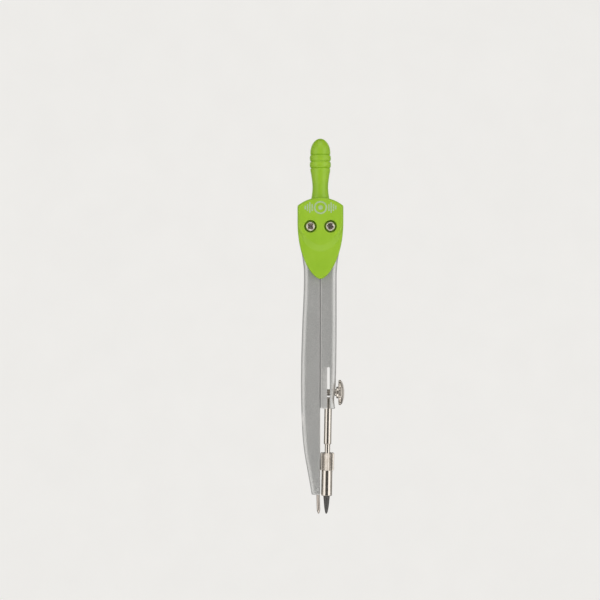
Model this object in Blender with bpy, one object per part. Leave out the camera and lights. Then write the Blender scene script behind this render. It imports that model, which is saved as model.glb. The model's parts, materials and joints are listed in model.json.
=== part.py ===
"""Drawing compass with a two-gear head, a needle leg and a clamped lead holder.

The compass stands upright: +Z runs from the points to the handle, the front of the head faces -Y,
and the needle leg is on the -X side. The origin is midway between the legs, level with the points.
Shapes are worked out in millimetres and turned into metres when each piece is finished.
"""

from math import asin, atan2, cos, pi, radians, sin, sqrt

import bmesh
import bpy
from mathutils import Matrix, Vector

MM = 0.001
FRONT, BACK = -1, 1
LEFT, RIGHT = -1, 1
SEAT_GAP = 0.1          # between pieces that rest on each other
ROUND = 32              # sides of a turned piece
WELD_DISTANCE = 0.001
BEYOND = 6.0            # how far cutters reach, past every face

# Head
PIVOT_X = 3.17          # each leg's pivot from the centre-line
PIVOT_Z = 91.8
HEAD_HALF_WIDTH = 7.3
HEAD_TOP_Z = 101.0
HEAD_TOP_RADIUS = 11.4
HEAD_CORNER_RADIUS = 0.6
HEAD_TAPER_Z = 93.3     # below this the sides curve in
HEAD_BELLY_Z = 81.5
HEAD_TIP_Z = 75.1
HEAD_TIP_HALF_WIDTH = 2.3
HEAD_EDGE_STEPS = 8
HEAD_CORNER_STEPS = 4
TONGUE_STEPS = 14
HEAD_HALF_DEPTH = 4.9
TONGUE_HALF_DEPTH = 4.0
COVER_EDGE_DEPTH = 3.45
COVER_BEVEL = 0.45
CAVITY_HALF_DEPTH = 2.4
CAVITY_TOP_Z = 95.9
CAVITY_BOTTOM_Z = 70.0
PLATEAU_INSET = 0.75
PLATEAU_BOTTOM_Z = 86.2
PLATEAU_TURN_Z = 92.5
PLATEAU_POWER = 1.6     # 2 is an ellipse; less is more pointed
RAMP_INSET = 0.5
RAMP_SIDE_INSET = 0.04  # at the upper sides and the top, where the ramp is one full round
RAMP_BOTTOM_Z = 83.4
RAMP_TURN_Z = 92.0
RAMP_POWER = 2.0
RAMP_STEPS = 4
SIDE_LOW_Z, SIDE_HIGH_Z = 88.0, 93.0

# Handle
HANDLE_TOP_Z = 120.0
DOME_BASE_Z = 115.4
DOME_RADIUS = 3.215
BEAD_CREST = 3.39
BEAD_GROOVE = 2.96
BEAD_CENTRES = (113.75, 111.65)
BEAD_HALF_HEIGHT = 0.95
GRIP_PROFILE = ((3.2, 110.25), (3.12, 109.4), (2.885, 108.2), (2.585, 105.95), (2.5, 104.4),
                (2.6, 102.9), (2.72, 101.9), (2.875, 101.1))
STEM_RADIUS = 2.875
STEM_TOP_Z = 103.0      # where the head's socket for the stem is open
STEM_SHOULDER_Z = 98.6
STEM_NECK_RADIUS = 2.0
STEM_KEY_TOP_Z = 97.6
STEM_KEY_BOTTOM_Z = 96.6
STEM_KEY_SIZE = (5.4, 4.6)

# Legs
LEG_GAP_HALF = 0.2      # from the centre-line to each leg's inner edge
LEG_TOP_Z = 89.2
LEG_HALF_DEPTH = 2.1
LEG_TIP_HALF_DEPTH = 1.55
LEG_TAPER_TOP_Z = 62.0
LEG_CROWN_WIDTH = 2.4   # of the wide round towards the outer edge
LEG_CROWN_DROP = 1.3
LEG_CROWN_SHARE = 0.85
LEG_INNER_CHAMFER = 0.24
LEG_END_CHAMFER = 0.25
NEEDLE_LEG_END_Z = 6.2
NEEDLE_LEG_EDGE = ((89.2, 6.6), (85.0, 6.2), (81.0, 5.6), (77.5, 5.25), (71.0, 5.32), (61.0, 5.75),
                   (50.0, 6.1), (41.0, 6.2), (33.0, 6.04), (25.0, 5.68), (19.2, 5.03),
                   (12.2, 3.8), (6.2, 2.75))
LEAD_LEG_END_Z = 33.7
LEAD_LEG_EDGE = ((89.2, 6.6), (85.0, 6.2), (81.0, 5.6), (77.5, 5.25), (71.0, 5.2), (61.0, 5.2),
                 (50.0, 5.12), (42.5, 4.95), (39.0, 4.68), (37.0, 4.42), (35.3, 4.5), (33.7, 4.75))

# Gear sectors
GEAR_TEETH = 14         # of the full circle that each sector is part of
PRESSURE_ANGLE = radians(25.0)
ADDENDUM = 0.85         # in modules
DEDENDUM = 1.1
BACKLASH = 0.12
SECTOR_HALF_DEPTH = 1.7
SECTOR_BACK_RADIUS = 3.6
PIVOT_BORE_RADIUS = 1.06

# Pivot hardware
SCREW_SHANK_RADIUS = 1.0
SCREW_HEAD_RADIUS = 1.7
SCREW_HEAD_SEAT = 3.5   # depth of the counterbore's floor from the parting plane
SCREW_HEAD_HEIGHT = 1.2
SCREW_END = 4.55
COVER_HOLE_RADIUS = 1.1
COUNTERBORE_RADIUS = 2.0
CROSS_LENGTH = 2.1
CROSS_WIDTH = 0.5
CROSS_DEPTH = 0.8
CROSS_TURN = {LEFT: 45.0, RIGHT: 12.0}
NUT_FLATS = 4.0
NUT_SEAT = 3.0
NUT_HEIGHT = 1.5
WASHER_RADIUS = 2.3
WASHER_THICKNESS = 0.4
SPRING_THICKNESS = 0.2

# Clamp and thumb screw
SLOT_LEFT_X, SLOT_RIGHT_X = 2.15, 3.05
SLOT_TOP_Z = 47.0
THUMB_Z = 38.8
THUMB_SHANK_RADIUS = 1.1
THUMB_SHANK_END_X = 0.75
THUMB_HUB_X = 5.1
THUMB_HUB_RADIUS = 1.85
THUMB_DISC_X = 5.75
THUMB_FACE_X = 7.7
THUMB_RADIUS = 4.0
THUMB_RIM_HEIGHT = 0.85
THUMB_TEETH = 30
THUMB_TOOTH_DEPTH = 0.26
THUMB_CROWN = ((3.66, 0.5), (3.5, 0.62), (3.1, 0.735), (2.3, 0.865), (1.3, 0.965), (0.0, 1.0))

# Lead holder, measured along its own axis from the lead's point
HOLDER_POINT = Vector((1.9, 0.0, 0.0))
HOLDER_CLAMP = Vector((2.5, 0.0, 33.7))
ROD_RADIUS = 1.225
ROD_TOP = 37.25
ROD_BOTTOM = 22.3
ROD_BORE_RADIUS = 1.29
NECK_RADIUS = 0.88
COLLET_RADIUS = 1.34
COLLET_TOP = 19.4
COLLET_BOTTOM = 6.5
COLLET_BORE_RADIUS = 1.06
COLLET_BORE_TOP = 17.6
COLLET_SLIT_WIDTH = 0.3
COLLET_SLIT_TOP = 13.0
COLLAR_RADIUS = 2.2
COLLAR_TOP = 19.55
COLLAR_BOTTOM = 13.95
KNURL_TEETH = 32
KNURL_DEPTH = 0.12
SLEEVE_RADIUS = 1.75
SLEEVE_BOTTOM = 5.86
SLEEVE_BORE_RADIUS = 1.44
SLEEVE_MOUTH_RADIUS = 1.1
SLEEVE_MOUTH_TOP = 6.3
LEAD_RADIUS = 1.0
LEAD_TOP = 17.0
LEAD_TAPER = 5.2
LEAD_BULGE = 0.42       # 1 is a straight cone
LEAD_STEPS = 7

# Needle
NEEDLE_RADIUS = 0.55
NEEDLE_TOP = 14.0
NEEDLE_TIP_X = -0.55
NEEDLE_TOP_X = -0.95
NEEDLE_CONE = 1.15
NEEDLE_BORE_RADIUS = 0.6
CRIMP_Z = 7.9
CRIMP_RADIUS = 0.55
CRIMP_DEPTH = 0.3

# Colours and finishes: base colour, roughness, metallic
LIME_PLASTIC = ("lime_plastic", (0.33, 0.57, 0.04), 0.38, 0.0)
SATIN_SILVER = ("satin_silver", (0.36, 0.37, 0.36), 0.45, 0.6)
NICKEL = ("nickel_plate", (0.80, 0.74, 0.66), 0.18, 1.0)
STEEL = ("steel", (0.62, 0.58, 0.54), 0.3, 1.0)
GRAPHITE = ("graphite", (0.06, 0.06, 0.06), 0.5, 0.0)


# Materials, placing and Booleans

def material(name, colour, roughness, metallic):
    found = bpy.data.materials.get(name)
    if found:
        return found
    made = bpy.data.materials.new(name)
    made.use_nodes = True
    shader = made.node_tree.nodes["Principled BSDF"]
    shader.inputs["Base Color"].default_value = (*colour, 1.0)
    shader.inputs["Roughness"].default_value = roughness
    shader.inputs["Metallic"].default_value = metallic
    return made


def from_bmesh(name, bm):
    """An object whose mesh is bm, with its faces turned outward."""
    bmesh.ops.recalc_face_normals(bm, faces=bm.faces)
    mesh = bpy.data.meshes.new(name)
    bm.to_mesh(mesh)
    bm.free()
    piece = bpy.data.objects.new(name, mesh)
    bpy.context.scene.collection.objects.link(piece)
    return piece


def combine(piece, other, operation):
    """Joins other to piece, or cuts it away, and removes other."""
    modifier = piece.modifiers.new(operation, "BOOLEAN")
    modifier.operation = operation
    modifier.solver = "EXACT"
    modifier.object = other
    graph = bpy.context.evaluated_depsgraph_get()
    result = bpy.data.meshes.new_from_object(piece.evaluated_get(graph))
    piece.modifiers.clear()
    piece.data = result
    bpy.data.objects.remove(other)
    weld(piece)
    return piece


def weld(piece):
    """Joins points that a Boolean has left on top of each other."""
    bm = bmesh.new()
    bm.from_mesh(piece.data)
    bmesh.ops.remove_doubles(bm, verts=bm.verts, dist=WELD_DISTANCE)
    bmesh.ops.dissolve_degenerate(bm, edges=bm.edges, dist=WELD_DISTANCE)
    bm.to_mesh(piece.data)
    bm.free()


def cut(piece, *cutters):
    for cutter in cutters:
        combine(piece, cutter, "DIFFERENCE")
    return piece


def join(piece, *others):
    for other in others:
        combine(piece, other, "UNION")
    return piece


def finish(piece, look, origin=(0.0, 0.0, 0.0), smooth_angle=30.0):
    """Turns the piece into metres about its origin, which is where its joint acts, and gives it its look."""
    origin = Vector(origin)
    piece.data.transform(Matrix.Scale(MM, 4) @ Matrix.Translation(-origin))
    piece.location = origin * MM
    piece.data.materials.clear()
    piece.data.materials.append(material(*look))
    piece.data.shade_smooth()
    piece.data.set_sharp_from_angle(angle=radians(smooth_angle))
    return piece


# Shapes

def loft(name, rings):
    """A closed body through rings with the same number of points, capped at both ends."""
    bm = bmesh.new()
    loops = [[bm.verts.new(point) for point in ring] for ring in rings]
    count = len(loops[0])
    for lower, upper in zip(loops, loops[1:]):
        for i in range(count):
            j = (i + 1) % count
            bm.faces.new((lower[i], lower[j], upper[j], upper[i]))
    bm.faces.new(loops[0])
    bm.faces.new(loops[-1])
    return from_bmesh(name, bm)


def turned(name, profile, sides=ROUND, frame=None):
    """A body of revolution about +Z, or about frame's Z. The profile is a closed loop of (radius, height),
    or an open one that starts and ends on the axis."""
    bm = bmesh.new()
    loops = []
    for radius, height in profile:
        if radius == 0.0:
            loops.append([bm.verts.new((0.0, 0.0, height))])
            continue
        turns = [2 * pi * i / sides for i in range(sides)]
        loops.append([bm.verts.new((radius * cos(a), radius * sin(a), height)) for a in turns])
    pairs = list(zip(loops, loops[1:]))
    if profile[0][0] > 0.0:
        pairs.append((loops[-1], loops[0]))
    for lower, upper in pairs:
        for i in range(sides):
            j = (i + 1) % sides
            corners = (lower[i % len(lower)], lower[j % len(lower)],
                       upper[j % len(upper)], upper[i % len(upper)])
            bm.faces.new(list(dict.fromkeys(corners)))
    piece = from_bmesh(name, bm)
    if frame is not None:
        piece.data.transform(frame)
    return piece


def prism(name, outline, near, far):
    """An outline of (x, z) points, extruded along Y."""
    return loft(name, [[(x, depth, z) for x, z in outline] for depth in (near, far)])


def box(name, low, high):
    outline = ((low[0], low[2]), (high[0], low[2]), (high[0], high[2]), (low[0], high[2]))
    return prism(name, outline, low[1], high[1])


def rod(name, radius, start, end, sides=ROUND):
    """A plain cylinder from one point to another."""
    start, end = Vector(start), Vector(end)
    length = (end - start).length
    frame = Matrix.Translation(start) @ (end - start).to_track_quat("Z", "Y").to_matrix().to_4x4()
    return turned(name, ((0.0, 0.0), (radius, 0.0), (radius, length), (0.0, length)), sides, frame)


def along_y(x, z):
    """Lays a turned piece's axis along +Y, through (x, z)."""
    return Matrix.Translation((x, 0.0, z)) @ Matrix.Rotation(radians(-90.0), 4, "X")


def smooth_curve(points, steps):
    """Points along a Catmull-Rom curve through the given points."""
    ends = [points[0], *points, points[-1]]
    curve = []
    for before, start, end, after in zip(ends, ends[1:], ends[2:], ends[3:]):
        for step in range(steps):
            t = step / steps
            weights = (-t + 2 * t * t - t ** 3, 2 - 5 * t * t + 3 * t ** 3,
                       t + 4 * t * t - 3 * t ** 3, -t * t + t ** 3)
            knots = (before, start, end, after)
            curve.append(tuple(sum(w * k[i] for w, k in zip(weights, knots)) / 2 for i in range(2)))
    curve.append(tuple(points[-1]))
    return curve


def bezier(points, steps):
    """Points along a cubic curve, its first point left out."""
    curve = []
    for step in range(1, steps + 1):
        t = step / steps
        weights = ((1 - t) ** 3, 3 * t * (1 - t) ** 2, 3 * t * t * (1 - t), t ** 3)
        curve.append(tuple(sum(w * p[i] for w, p in zip(weights, points)) for i in range(2)))
    return curve


# The head's outlines

def shield(inset):
    """The head's outline, moved inward by inset, from the top middle round to the top middle."""
    half_width = HEAD_HALF_WIDTH - inset
    radius = HEAD_TOP_RADIUS - inset
    corner = HEAD_CORNER_RADIUS - 0.5 * inset
    centre_z = HEAD_TOP_Z - HEAD_TOP_RADIUS
    # The corner's centre touches both the side and the top arc from inside.
    corner_x = half_width - corner
    corner_z = centre_z + sqrt((radius - corner) ** 2 - corner_x ** 2)
    corner_start = asin(corner_x / (radius - corner))
    turns = [corner_start * i / HEAD_EDGE_STEPS for i in range(1, HEAD_EDGE_STEPS)]
    half = [(radius * sin(turn), centre_z + radius * cos(turn)) for turn in turns]
    for i in range(HEAD_CORNER_STEPS + 1):
        turn = corner_start + (pi / 2 - corner_start) * i / HEAD_CORNER_STEPS
        half.append((corner_x + corner * sin(turn), corner_z + corner * cos(turn)))
    tip_z = HEAD_TIP_Z + inset
    half.append((half_width, HEAD_TAPER_Z))
    knots = ((half_width, HEAD_TAPER_Z), (half_width, HEAD_BELLY_Z), (HEAD_TIP_HALF_WIDTH, tip_z), (0.0, tip_z))
    half += bezier(knots, TONGUE_STEPS)[:-1]
    return mirrored(half, HEAD_TOP_Z - inset, tip_z)


def plateau(inset, turn_z, bottom_z, power):
    """The raised zone's outline: the head's top and sides, closed by half an oval."""
    half_width = HEAD_HALF_WIDTH - inset
    half = shield(inset)[1:HEAD_EDGE_STEPS + HEAD_CORNER_STEPS + 1]
    half.append((half_width, turn_z + 0.3))
    for i in range(TONGUE_STEPS - 1):
        turn = pi / 2 * i / (TONGUE_STEPS - 1)
        half.append((half_width * cos(turn) ** (2 / power),
                     turn_z - (turn_z - bottom_z) * sin(turn) ** (2 / power)))
    return mirrored(half, HEAD_TOP_Z - inset, bottom_z)


def mirrored(half, top_z, bottom_z):
    """Closes a right-hand half outline with its mirror image and the points on the centre-line."""
    return [(0.0, top_z), *half, (0.0, bottom_z), *[(-x, z) for x, z in reversed(half)]]


def upper_share(z):
    """0 along the tongue and 1 along the head's upper sides and top."""
    share = min(1.0, max(0.0, (z - SIDE_LOW_Z) / (SIDE_HIGH_Z - SIDE_LOW_Z)))
    return share * share * (3.0 - 2.0 * share)


def between(first, second, share):
    return tuple(a + (b - a) * share for a, b in zip(first, second))


def by_height(lower, upper):
    """A ring that follows lower along the tongue and upper along the head's upper part."""
    return [between(a, b, upper_share(a[-1])) for a, b in zip(lower, upper)]


def ring_at(outline, depth):
    return [(x, depth, z) for x, z in outline]


def cover_rings(side):
    """The cover's rings from its parting edge over the tongue's bevel and up the ramp. The ramp meets the upper
    sides and the top as one full round."""
    bevel_depth = TONGUE_HALF_DEPTH - COVER_EDGE_DEPTH
    rings = [ring_at(shield(0.0), SEAT_GAP / 2), ring_at(shield(0.0), COVER_EDGE_DEPTH)]
    for inward, sink in ((0.3, 0.35), (1.0, 0.0)):
        depth = TONGUE_HALF_DEPTH - sink * bevel_depth
        rings.append(by_height(ring_at(shield(inward * COVER_BEVEL), depth),
                               ring_at(shield(inward * RAMP_SIDE_INSET / 2), depth)))
    foot = by_height(plateau(RAMP_INSET, RAMP_TURN_Z, RAMP_BOTTOM_Z, RAMP_POWER),
                     plateau(RAMP_SIDE_INSET, RAMP_TURN_Z, RAMP_BOTTOM_Z, RAMP_POWER))
    brow = plateau(PLATEAU_INSET, PLATEAU_TURN_Z, PLATEAU_BOTTOM_Z, PLATEAU_POWER)
    rise = HEAD_HALF_DEPTH - TONGUE_HALF_DEPTH
    for i in range(RAMP_STEPS + 1):
        share, turn = i / RAMP_STEPS, pi / 2 * i / RAMP_STEPS
        slope = [between(a, b, share) for a, b in zip(foot, brow)]
        curve = [between(a, b, 1.0 - cos(turn)) for a, b in zip(foot, brow)]
        rings.append(by_height(ring_at(slope, TONGUE_HALF_DEPTH + rise * share),
                               ring_at(curve, TONGUE_HALF_DEPTH + rise * sin(turn))))
    return [[(x, side * depth, z) for x, depth, z in ring] for ring in rings]


# The head

def cover(name, side):
    """Half of the head: a plate with a raised zone, thick above the cavity that the legs turn in."""
    piece = loft(name, cover_rings(side))
    inner, outer = sorted((-side, side * CAVITY_HALF_DEPTH))
    half_width = HEAD_HALF_WIDTH + 1.0
    cut(piece, box("cavity", (-half_width, inner, CAVITY_BOTTOM_Z), (half_width, outer, CAVITY_TOP_Z)))
    cut(piece, handle_socket())
    for x in (-PIVOT_X, PIVOT_X):
        cut(piece, rod("screw_hole", COVER_HOLE_RADIUS, (x, 0.0, PIVOT_Z), (x, side * BEYOND, PIVOT_Z)))
    return piece


def handle_socket():
    """The space that the handle's stem, neck and key take up in both covers."""
    stem_radius, neck_radius = STEM_RADIUS + SEAT_GAP, STEM_NECK_RADIUS + SEAT_GAP
    shoulder_z = STEM_SHOULDER_Z - SEAT_GAP
    middle_z = (STEM_KEY_BOTTOM_Z + STEM_KEY_TOP_Z) / 2
    stem = turned("stem", ((0.0, STEM_TOP_Z), (stem_radius, STEM_TOP_Z), (stem_radius, shoulder_z),
                           (neck_radius, shoulder_z), (neck_radius, middle_z), (0.0, middle_z)))
    half_x, half_y = (size / 2 + SEAT_GAP for size in STEM_KEY_SIZE)
    low_z, high_z = STEM_KEY_BOTTOM_Z - SEAT_GAP, STEM_KEY_TOP_Z + SEAT_GAP
    return join(stem, box("key", (-half_x, -half_y, low_z), (half_x, half_y, high_z)))


def front_cover():
    piece = cover("front_cover", FRONT)
    for x in (-PIVOT_X, PIVOT_X):
        seat, outside = (x, -SCREW_HEAD_SEAT, PIVOT_Z), (x, -BEYOND, PIVOT_Z)
        cut(piece, rod("counterbore", COUNTERBORE_RADIUS, seat, outside))
    return finish(piece, LIME_PLASTIC)


def back_cover():
    piece = cover("back_cover", BACK)
    for x in (-PIVOT_X, PIVOT_X):
        cut(piece, prism("pocket", hexagon(x, NUT_FLATS + 2 * SEAT_GAP), NUT_SEAT, BEYOND))
    return finish(piece, LIME_PLASTIC)


def hexagon(x, flats):
    reach = flats / sqrt(3.0)
    return [(x + reach * cos(radians(60 * i)), PIVOT_Z + reach * sin(radians(60 * i))) for i in range(6)]


def bead(centre):
    """One raised ring of the grip, from its upper groove to its lower one."""
    points = []
    for i in range(7):
        turn = pi * (i + 0.5) / 7
        swell = sin(turn) ** 0.5
        radius = BEAD_GROOVE + (BEAD_CREST - BEAD_GROOVE) * swell
        points.append((radius, centre + BEAD_HALF_HEIGHT * cos(turn)))
    return points


def handle():
    """The grip in one turned piece: dome, two beads, waist, and the stem and key that the covers hold."""
    height = HANDLE_TOP_Z - DOME_BASE_Z
    turns = [pi / 2 * i / 9 for i in range(1, 10)]
    dome = [(0.0, HANDLE_TOP_Z)] + [(DOME_RADIUS * sin(a), DOME_BASE_Z + height * cos(a)) for a in turns]
    rim = [(DOME_RADIUS - 0.03, 115.1), (BEAD_GROOVE, 114.85)]
    beads = [point for centre in BEAD_CENTRES for point in bead(centre)]
    waist = [(BEAD_GROOVE, 110.6)] + smooth_curve(GRIP_PROFILE, 2)
    stem = [(STEM_RADIUS, STEM_SHOULDER_Z), (STEM_NECK_RADIUS, STEM_SHOULDER_Z),
            (STEM_NECK_RADIUS, STEM_KEY_BOTTOM_Z + 0.3), (0.0, STEM_KEY_BOTTOM_Z + 0.3)]
    piece = turned("handle", dome + rim + beads + waist + stem)
    half_x, half_y = (size / 2 for size in STEM_KEY_SIZE)
    join(piece, box("key", (-half_x, -half_y, STEM_KEY_BOTTOM_Z), (half_x, half_y, STEM_KEY_TOP_Z)))
    return finish(piece, LIME_PLASTIC)


# The pivot hardware

def pivot_screw(name, side):
    """A pan-head screw with a cross recess; its head is in the front cover's counterbore."""
    seat = -SCREW_HEAD_SEAT - SEAT_GAP / 2
    top = seat - SCREW_HEAD_HEIGHT
    profile = ((0.0, top), (0.5, top + 0.03), (0.95, top + 0.13), (1.35, top + 0.31), (1.6, top + 0.54),
               (SCREW_HEAD_RADIUS, top + 0.8), (SCREW_HEAD_RADIUS, seat), (SCREW_SHANK_RADIUS, seat),
               (SCREW_SHANK_RADIUS, SCREW_END - 0.25), (SCREW_SHANK_RADIUS - 0.25, SCREW_END), (0.0, SCREW_END))
    x = side * PIVOT_X
    piece = turned(name, profile, 24, along_y(x, PIVOT_Z))
    for quarter in (0.0, 90.0):
        blade = box("blade", (-CROSS_LENGTH / 2, top - 1.0, -CROSS_WIDTH / 2),
                    (CROSS_LENGTH / 2, top + CROSS_DEPTH, CROSS_WIDTH / 2))
        blade.data.transform(Matrix.Rotation(radians(CROSS_TURN[side] + quarter), 4, "Y"))
        blade.data.transform(Matrix.Translation((x, 0.0, PIVOT_Z)))
        cut(piece, blade)
    return finish(piece, STEEL, (x, 0.0, PIVOT_Z))


def pivot_nut(name, side):
    """A hexagon nut with its outer corners chamfered."""
    x = side * PIVOT_X
    near = NUT_SEAT + SEAT_GAP / 2
    far = near + NUT_HEIGHT
    reach = NUT_FLATS / sqrt(3.0)
    piece = prism(name, hexagon(x, NUT_FLATS), near, far)
    chamfered = ((0.0, near - 1.0), (reach + 0.2, near - 1.0), (reach + 0.2, far - 0.35),
                 (NUT_FLATS / 2 - 0.05, far + 0.1), (0.0, far + 0.1))
    combine(piece, turned("envelope", chamfered, 24, along_y(x, PIVOT_Z)), "INTERSECT")
    cut(piece, rod("thread", SCREW_SHANK_RADIUS + 0.05, (x, 0.0, PIVOT_Z), (x, BEYOND, PIVOT_Z), sides=24))
    return finish(piece, STEEL, (x, 0.0, PIVOT_Z))


def thrust_washer(name, side):
    near = SECTOR_HALF_DEPTH + SEAT_GAP
    far = near + WASHER_THICKNESS
    hole = COVER_HOLE_RADIUS
    profile = ((hole, -far), (WASHER_RADIUS, -far), (WASHER_RADIUS, -near), (hole, -near))
    x = side * PIVOT_X
    return finish(turned(name, profile, 24, along_y(x, PIVOT_Z)), STEEL, (x, 0.0, PIVOT_Z))


def spring_washer(name, side):
    """A cone spring: its rim bears on the back cover and its middle on the leg."""
    near = SECTOR_HALF_DEPTH + SEAT_GAP
    far = CAVITY_HALF_DEPTH - SEAT_GAP
    profile = ((COVER_HOLE_RADIUS, near), (WASHER_RADIUS, far - SPRING_THICKNESS), (WASHER_RADIUS, far),
               (COVER_HOLE_RADIUS, near + SPRING_THICKNESS))
    x = side * PIVOT_X
    return finish(turned(name, profile, 24, along_y(x, PIVOT_Z)), STEEL, (x, 0.0, PIVOT_Z))


# The legs

def involute(radius, base):
    """The angle that an involute has turned through where it reaches radius."""
    if radius <= base:
        return 0.0
    reach = sqrt((radius / base) ** 2 - 1.0)
    return reach - atan2(reach, 1.0)


def tooth(centre):
    """One tooth's (radius, angle) points about the pivot, from one root to the other."""
    module = 2 * PIVOT_X / GEAR_TEETH
    base = PIVOT_X * cos(PRESSURE_ANGLE)
    root = PIVOT_X - DEDENDUM * module
    tip = PIVOT_X + ADDENDUM * module
    half_pitch = pi / (2 * GEAR_TEETH) - BACKLASH / (2 * PIVOT_X)
    radii = [root] + [base + (tip - base) * i / 4 for i in range(5)]
    flank = [(radius, half_pitch + involute(PIVOT_X, base) - involute(radius, base)) for radius in radii]
    rising = [(radius, centre - half) for radius, half in flank]
    falling = [(radius, centre + half) for radius, half in reversed(flank)]
    return rising + falling


def sector(side, first, last):
    """The leg's gear sector, as an outline about its pivot. Angles are counted upward from the centre-line."""
    pitch = 2 * pi / GEAR_TEETH
    phase = 0.0 if side == LEFT else 0.5
    polar = [point for i in range(first, last + 1) for point in tooth((i + phase) * pitch)]
    start = polar[-1][1]
    back = [(SECTOR_BACK_RADIUS, start + 0.12 + (radians(200.0) - start - 0.12) * i / 14) for i in range(15)]
    outline = [(PIVOT_X - radius * cos(turn), PIVOT_Z + radius * sin(turn)) for radius, turn in polar + back]
    inside = LEG_GAP_HALF + 0.5
    outline += [(6.1, LEG_TOP_Z - 1.6), (inside, LEG_TOP_Z - 1.6), (inside, LEG_TOP_Z + 0.2)]
    return [(side * x, z) for x, z in outline]


def leg_section(side, z, outer, half_depth, inset=0.0):
    """The leg's cross-section at one height: chamfered along its inner edge, crowned towards its outer one."""
    inner = LEG_GAP_HALF + inset
    outer -= inset
    half_depth -= inset
    chamfer = LEG_INNER_CHAMFER
    wide = min(LEG_CROWN_WIDTH, LEG_CROWN_SHARE * (outer - inner))
    drop = LEG_CROWN_DROP * half_depth / LEG_HALF_DEPTH
    points = [(inner, half_depth - chamfer), (inner, chamfer - half_depth), (inner + chamfer, -half_depth)]
    turns = [pi / 2 * i / 7 for i in range(8)]
    points += [(outer - wide + wide * sin(a), -half_depth + drop * (1.0 - cos(a))) for a in turns]
    points += [(outer - wide + wide * cos(a), half_depth - drop * (1.0 - sin(a))) for a in turns]
    points.append((inner + chamfer, half_depth))
    return [(side * x, y, z) for x, y in points]


def leg_blade(name, side, edge, end_z, end_half_depth):
    """The leg below its gear sector, lofted down to its end."""
    def half_depth(z):
        share = min(1.0, max(0.0, (LEG_TAPER_TOP_Z - z) / (LEG_TAPER_TOP_Z - end_z)))
        share = share * share * (3.0 - 2.0 * share)
        return LEG_HALF_DEPTH + (end_half_depth - LEG_HALF_DEPTH) * share

    stations = smooth_curve(edge, 2)[:-1]
    rings = [leg_section(side, z, outer, half_depth(z)) for z, outer in stations]
    end_outer = edge[-1][1]
    near_end = end_z + LEG_END_CHAMFER
    rings.append(leg_section(side, near_end, end_outer + 0.02, half_depth(near_end)))
    rings.append(leg_section(side, end_z, end_outer, half_depth(end_z), LEG_END_CHAMFER))
    return loft(name, rings)


def needle_leg():
    """The needle's leg: gear sector, blade, the needle's bore and the punch mark that crimps it."""
    piece = leg_blade("needle_leg", LEFT, NEEDLE_LEG_EDGE, NEEDLE_LEG_END_Z, LEG_TIP_HALF_DEPTH)
    join(piece, prism("sector", sector(LEFT, -1, 3), -SECTOR_HALF_DEPTH, SECTOR_HALF_DEPTH))
    pivot = (-PIVOT_X, 0.0, PIVOT_Z)
    low, high = needle_line(-2.0), needle_line(NEEDLE_TOP + SEAT_GAP)
    crimp_x = needle_line(CRIMP_Z).x
    crimp = rod("crimp", CRIMP_RADIUS, (crimp_x, -BEYOND, CRIMP_Z),
                (crimp_x, CRIMP_DEPTH - LEG_TIP_HALF_DEPTH, CRIMP_Z), sides=16)
    cut(piece, pivot_bore(LEFT))
    cut(piece, rod("needle_bore", NEEDLE_BORE_RADIUS, low, high, sides=20), crimp)
    return finish(piece, SATIN_SILVER, pivot)


def pivot_bore(side):
    x = side * PIVOT_X
    return rod("pivot_bore", PIVOT_BORE_RADIUS, (x, -BEYOND, PIVOT_Z), (x, BEYOND, PIVOT_Z))


def needle_line(z):
    """The needle's axis at one height."""
    return Vector((NEEDLE_TIP_X + (NEEDLE_TOP_X - NEEDLE_TIP_X) * z / NEEDLE_TOP, 0.0, z))


def needle():
    """The steel point, with a short cone."""
    start, end = needle_line(0.0), needle_line(NEEDLE_TOP)
    length = (end - start).length
    frame = Matrix.Translation(start) @ (end - start).to_track_quat("Z", "Y").to_matrix().to_4x4()
    profile = ((0.0, 0.0), (0.12, 0.12), (NEEDLE_RADIUS, NEEDLE_CONE), (NEEDLE_RADIUS, length), (0.0, length))
    return finish(turned("needle", profile, 20, frame), STEEL)


def lead_leg():
    """The lead's leg: gear sector, blade, and the clamp with its slot, rod bore and screw holes."""
    piece = leg_blade("lead_leg", RIGHT, LEAD_LEG_EDGE, LEAD_LEG_END_Z, LEG_HALF_DEPTH)
    join(piece, prism("sector", sector(RIGHT, -1, 2), -SECTOR_HALF_DEPTH, SECTOR_HALF_DEPTH))
    cut(piece, pivot_bore(RIGHT), clamp_slot())
    cut(piece, rod("rod_bore", ROD_BORE_RADIUS, holder_line(30.0), holder_line(ROD_TOP + SEAT_GAP)))
    middle_x = (SLOT_LEFT_X + SLOT_RIGHT_X) / 2
    middle = (middle_x, 0.0, THUMB_Z)
    inner, outer = (THUMB_SHANK_END_X - SEAT_GAP, 0.0, THUMB_Z), (THUMB_FACE_X, 0.0, THUMB_Z)
    tapped = rod("tapped", THUMB_SHANK_RADIUS + 0.05, inner, middle, sides=24)
    clearance = rod("clearance", THUMB_SHANK_RADIUS + 0.12, middle, outer, sides=24)
    cut(piece, tapped, clearance)
    return finish(piece, SATIN_SILVER, (PIVOT_X, 0.0, PIVOT_Z))


def clamp_slot():
    """The slot between the clamp's jaws, round at its top."""
    radius = (SLOT_RIGHT_X - SLOT_LEFT_X) / 2
    middle = (SLOT_LEFT_X + SLOT_RIGHT_X) / 2
    turns = [pi * i / 8 for i in range(9)]
    arch = [(middle + radius * cos(a), SLOT_TOP_Z - radius + radius * sin(a)) for a in turns]
    below = LEAD_LEG_END_Z - 1.0
    return prism("slot", [(SLOT_LEFT_X, below), (SLOT_RIGHT_X, below), *arch], -BEYOND, BEYOND)


# The clamp's screw and the lead holder

FLAT_TOOTH = ((0.0, 0.0), (0.25, 0.0), (0.5, 1.0), (0.75, 1.0))
SHARP_TOOTH = ((0.0, 0.0), (0.5, 1.0))


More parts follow.
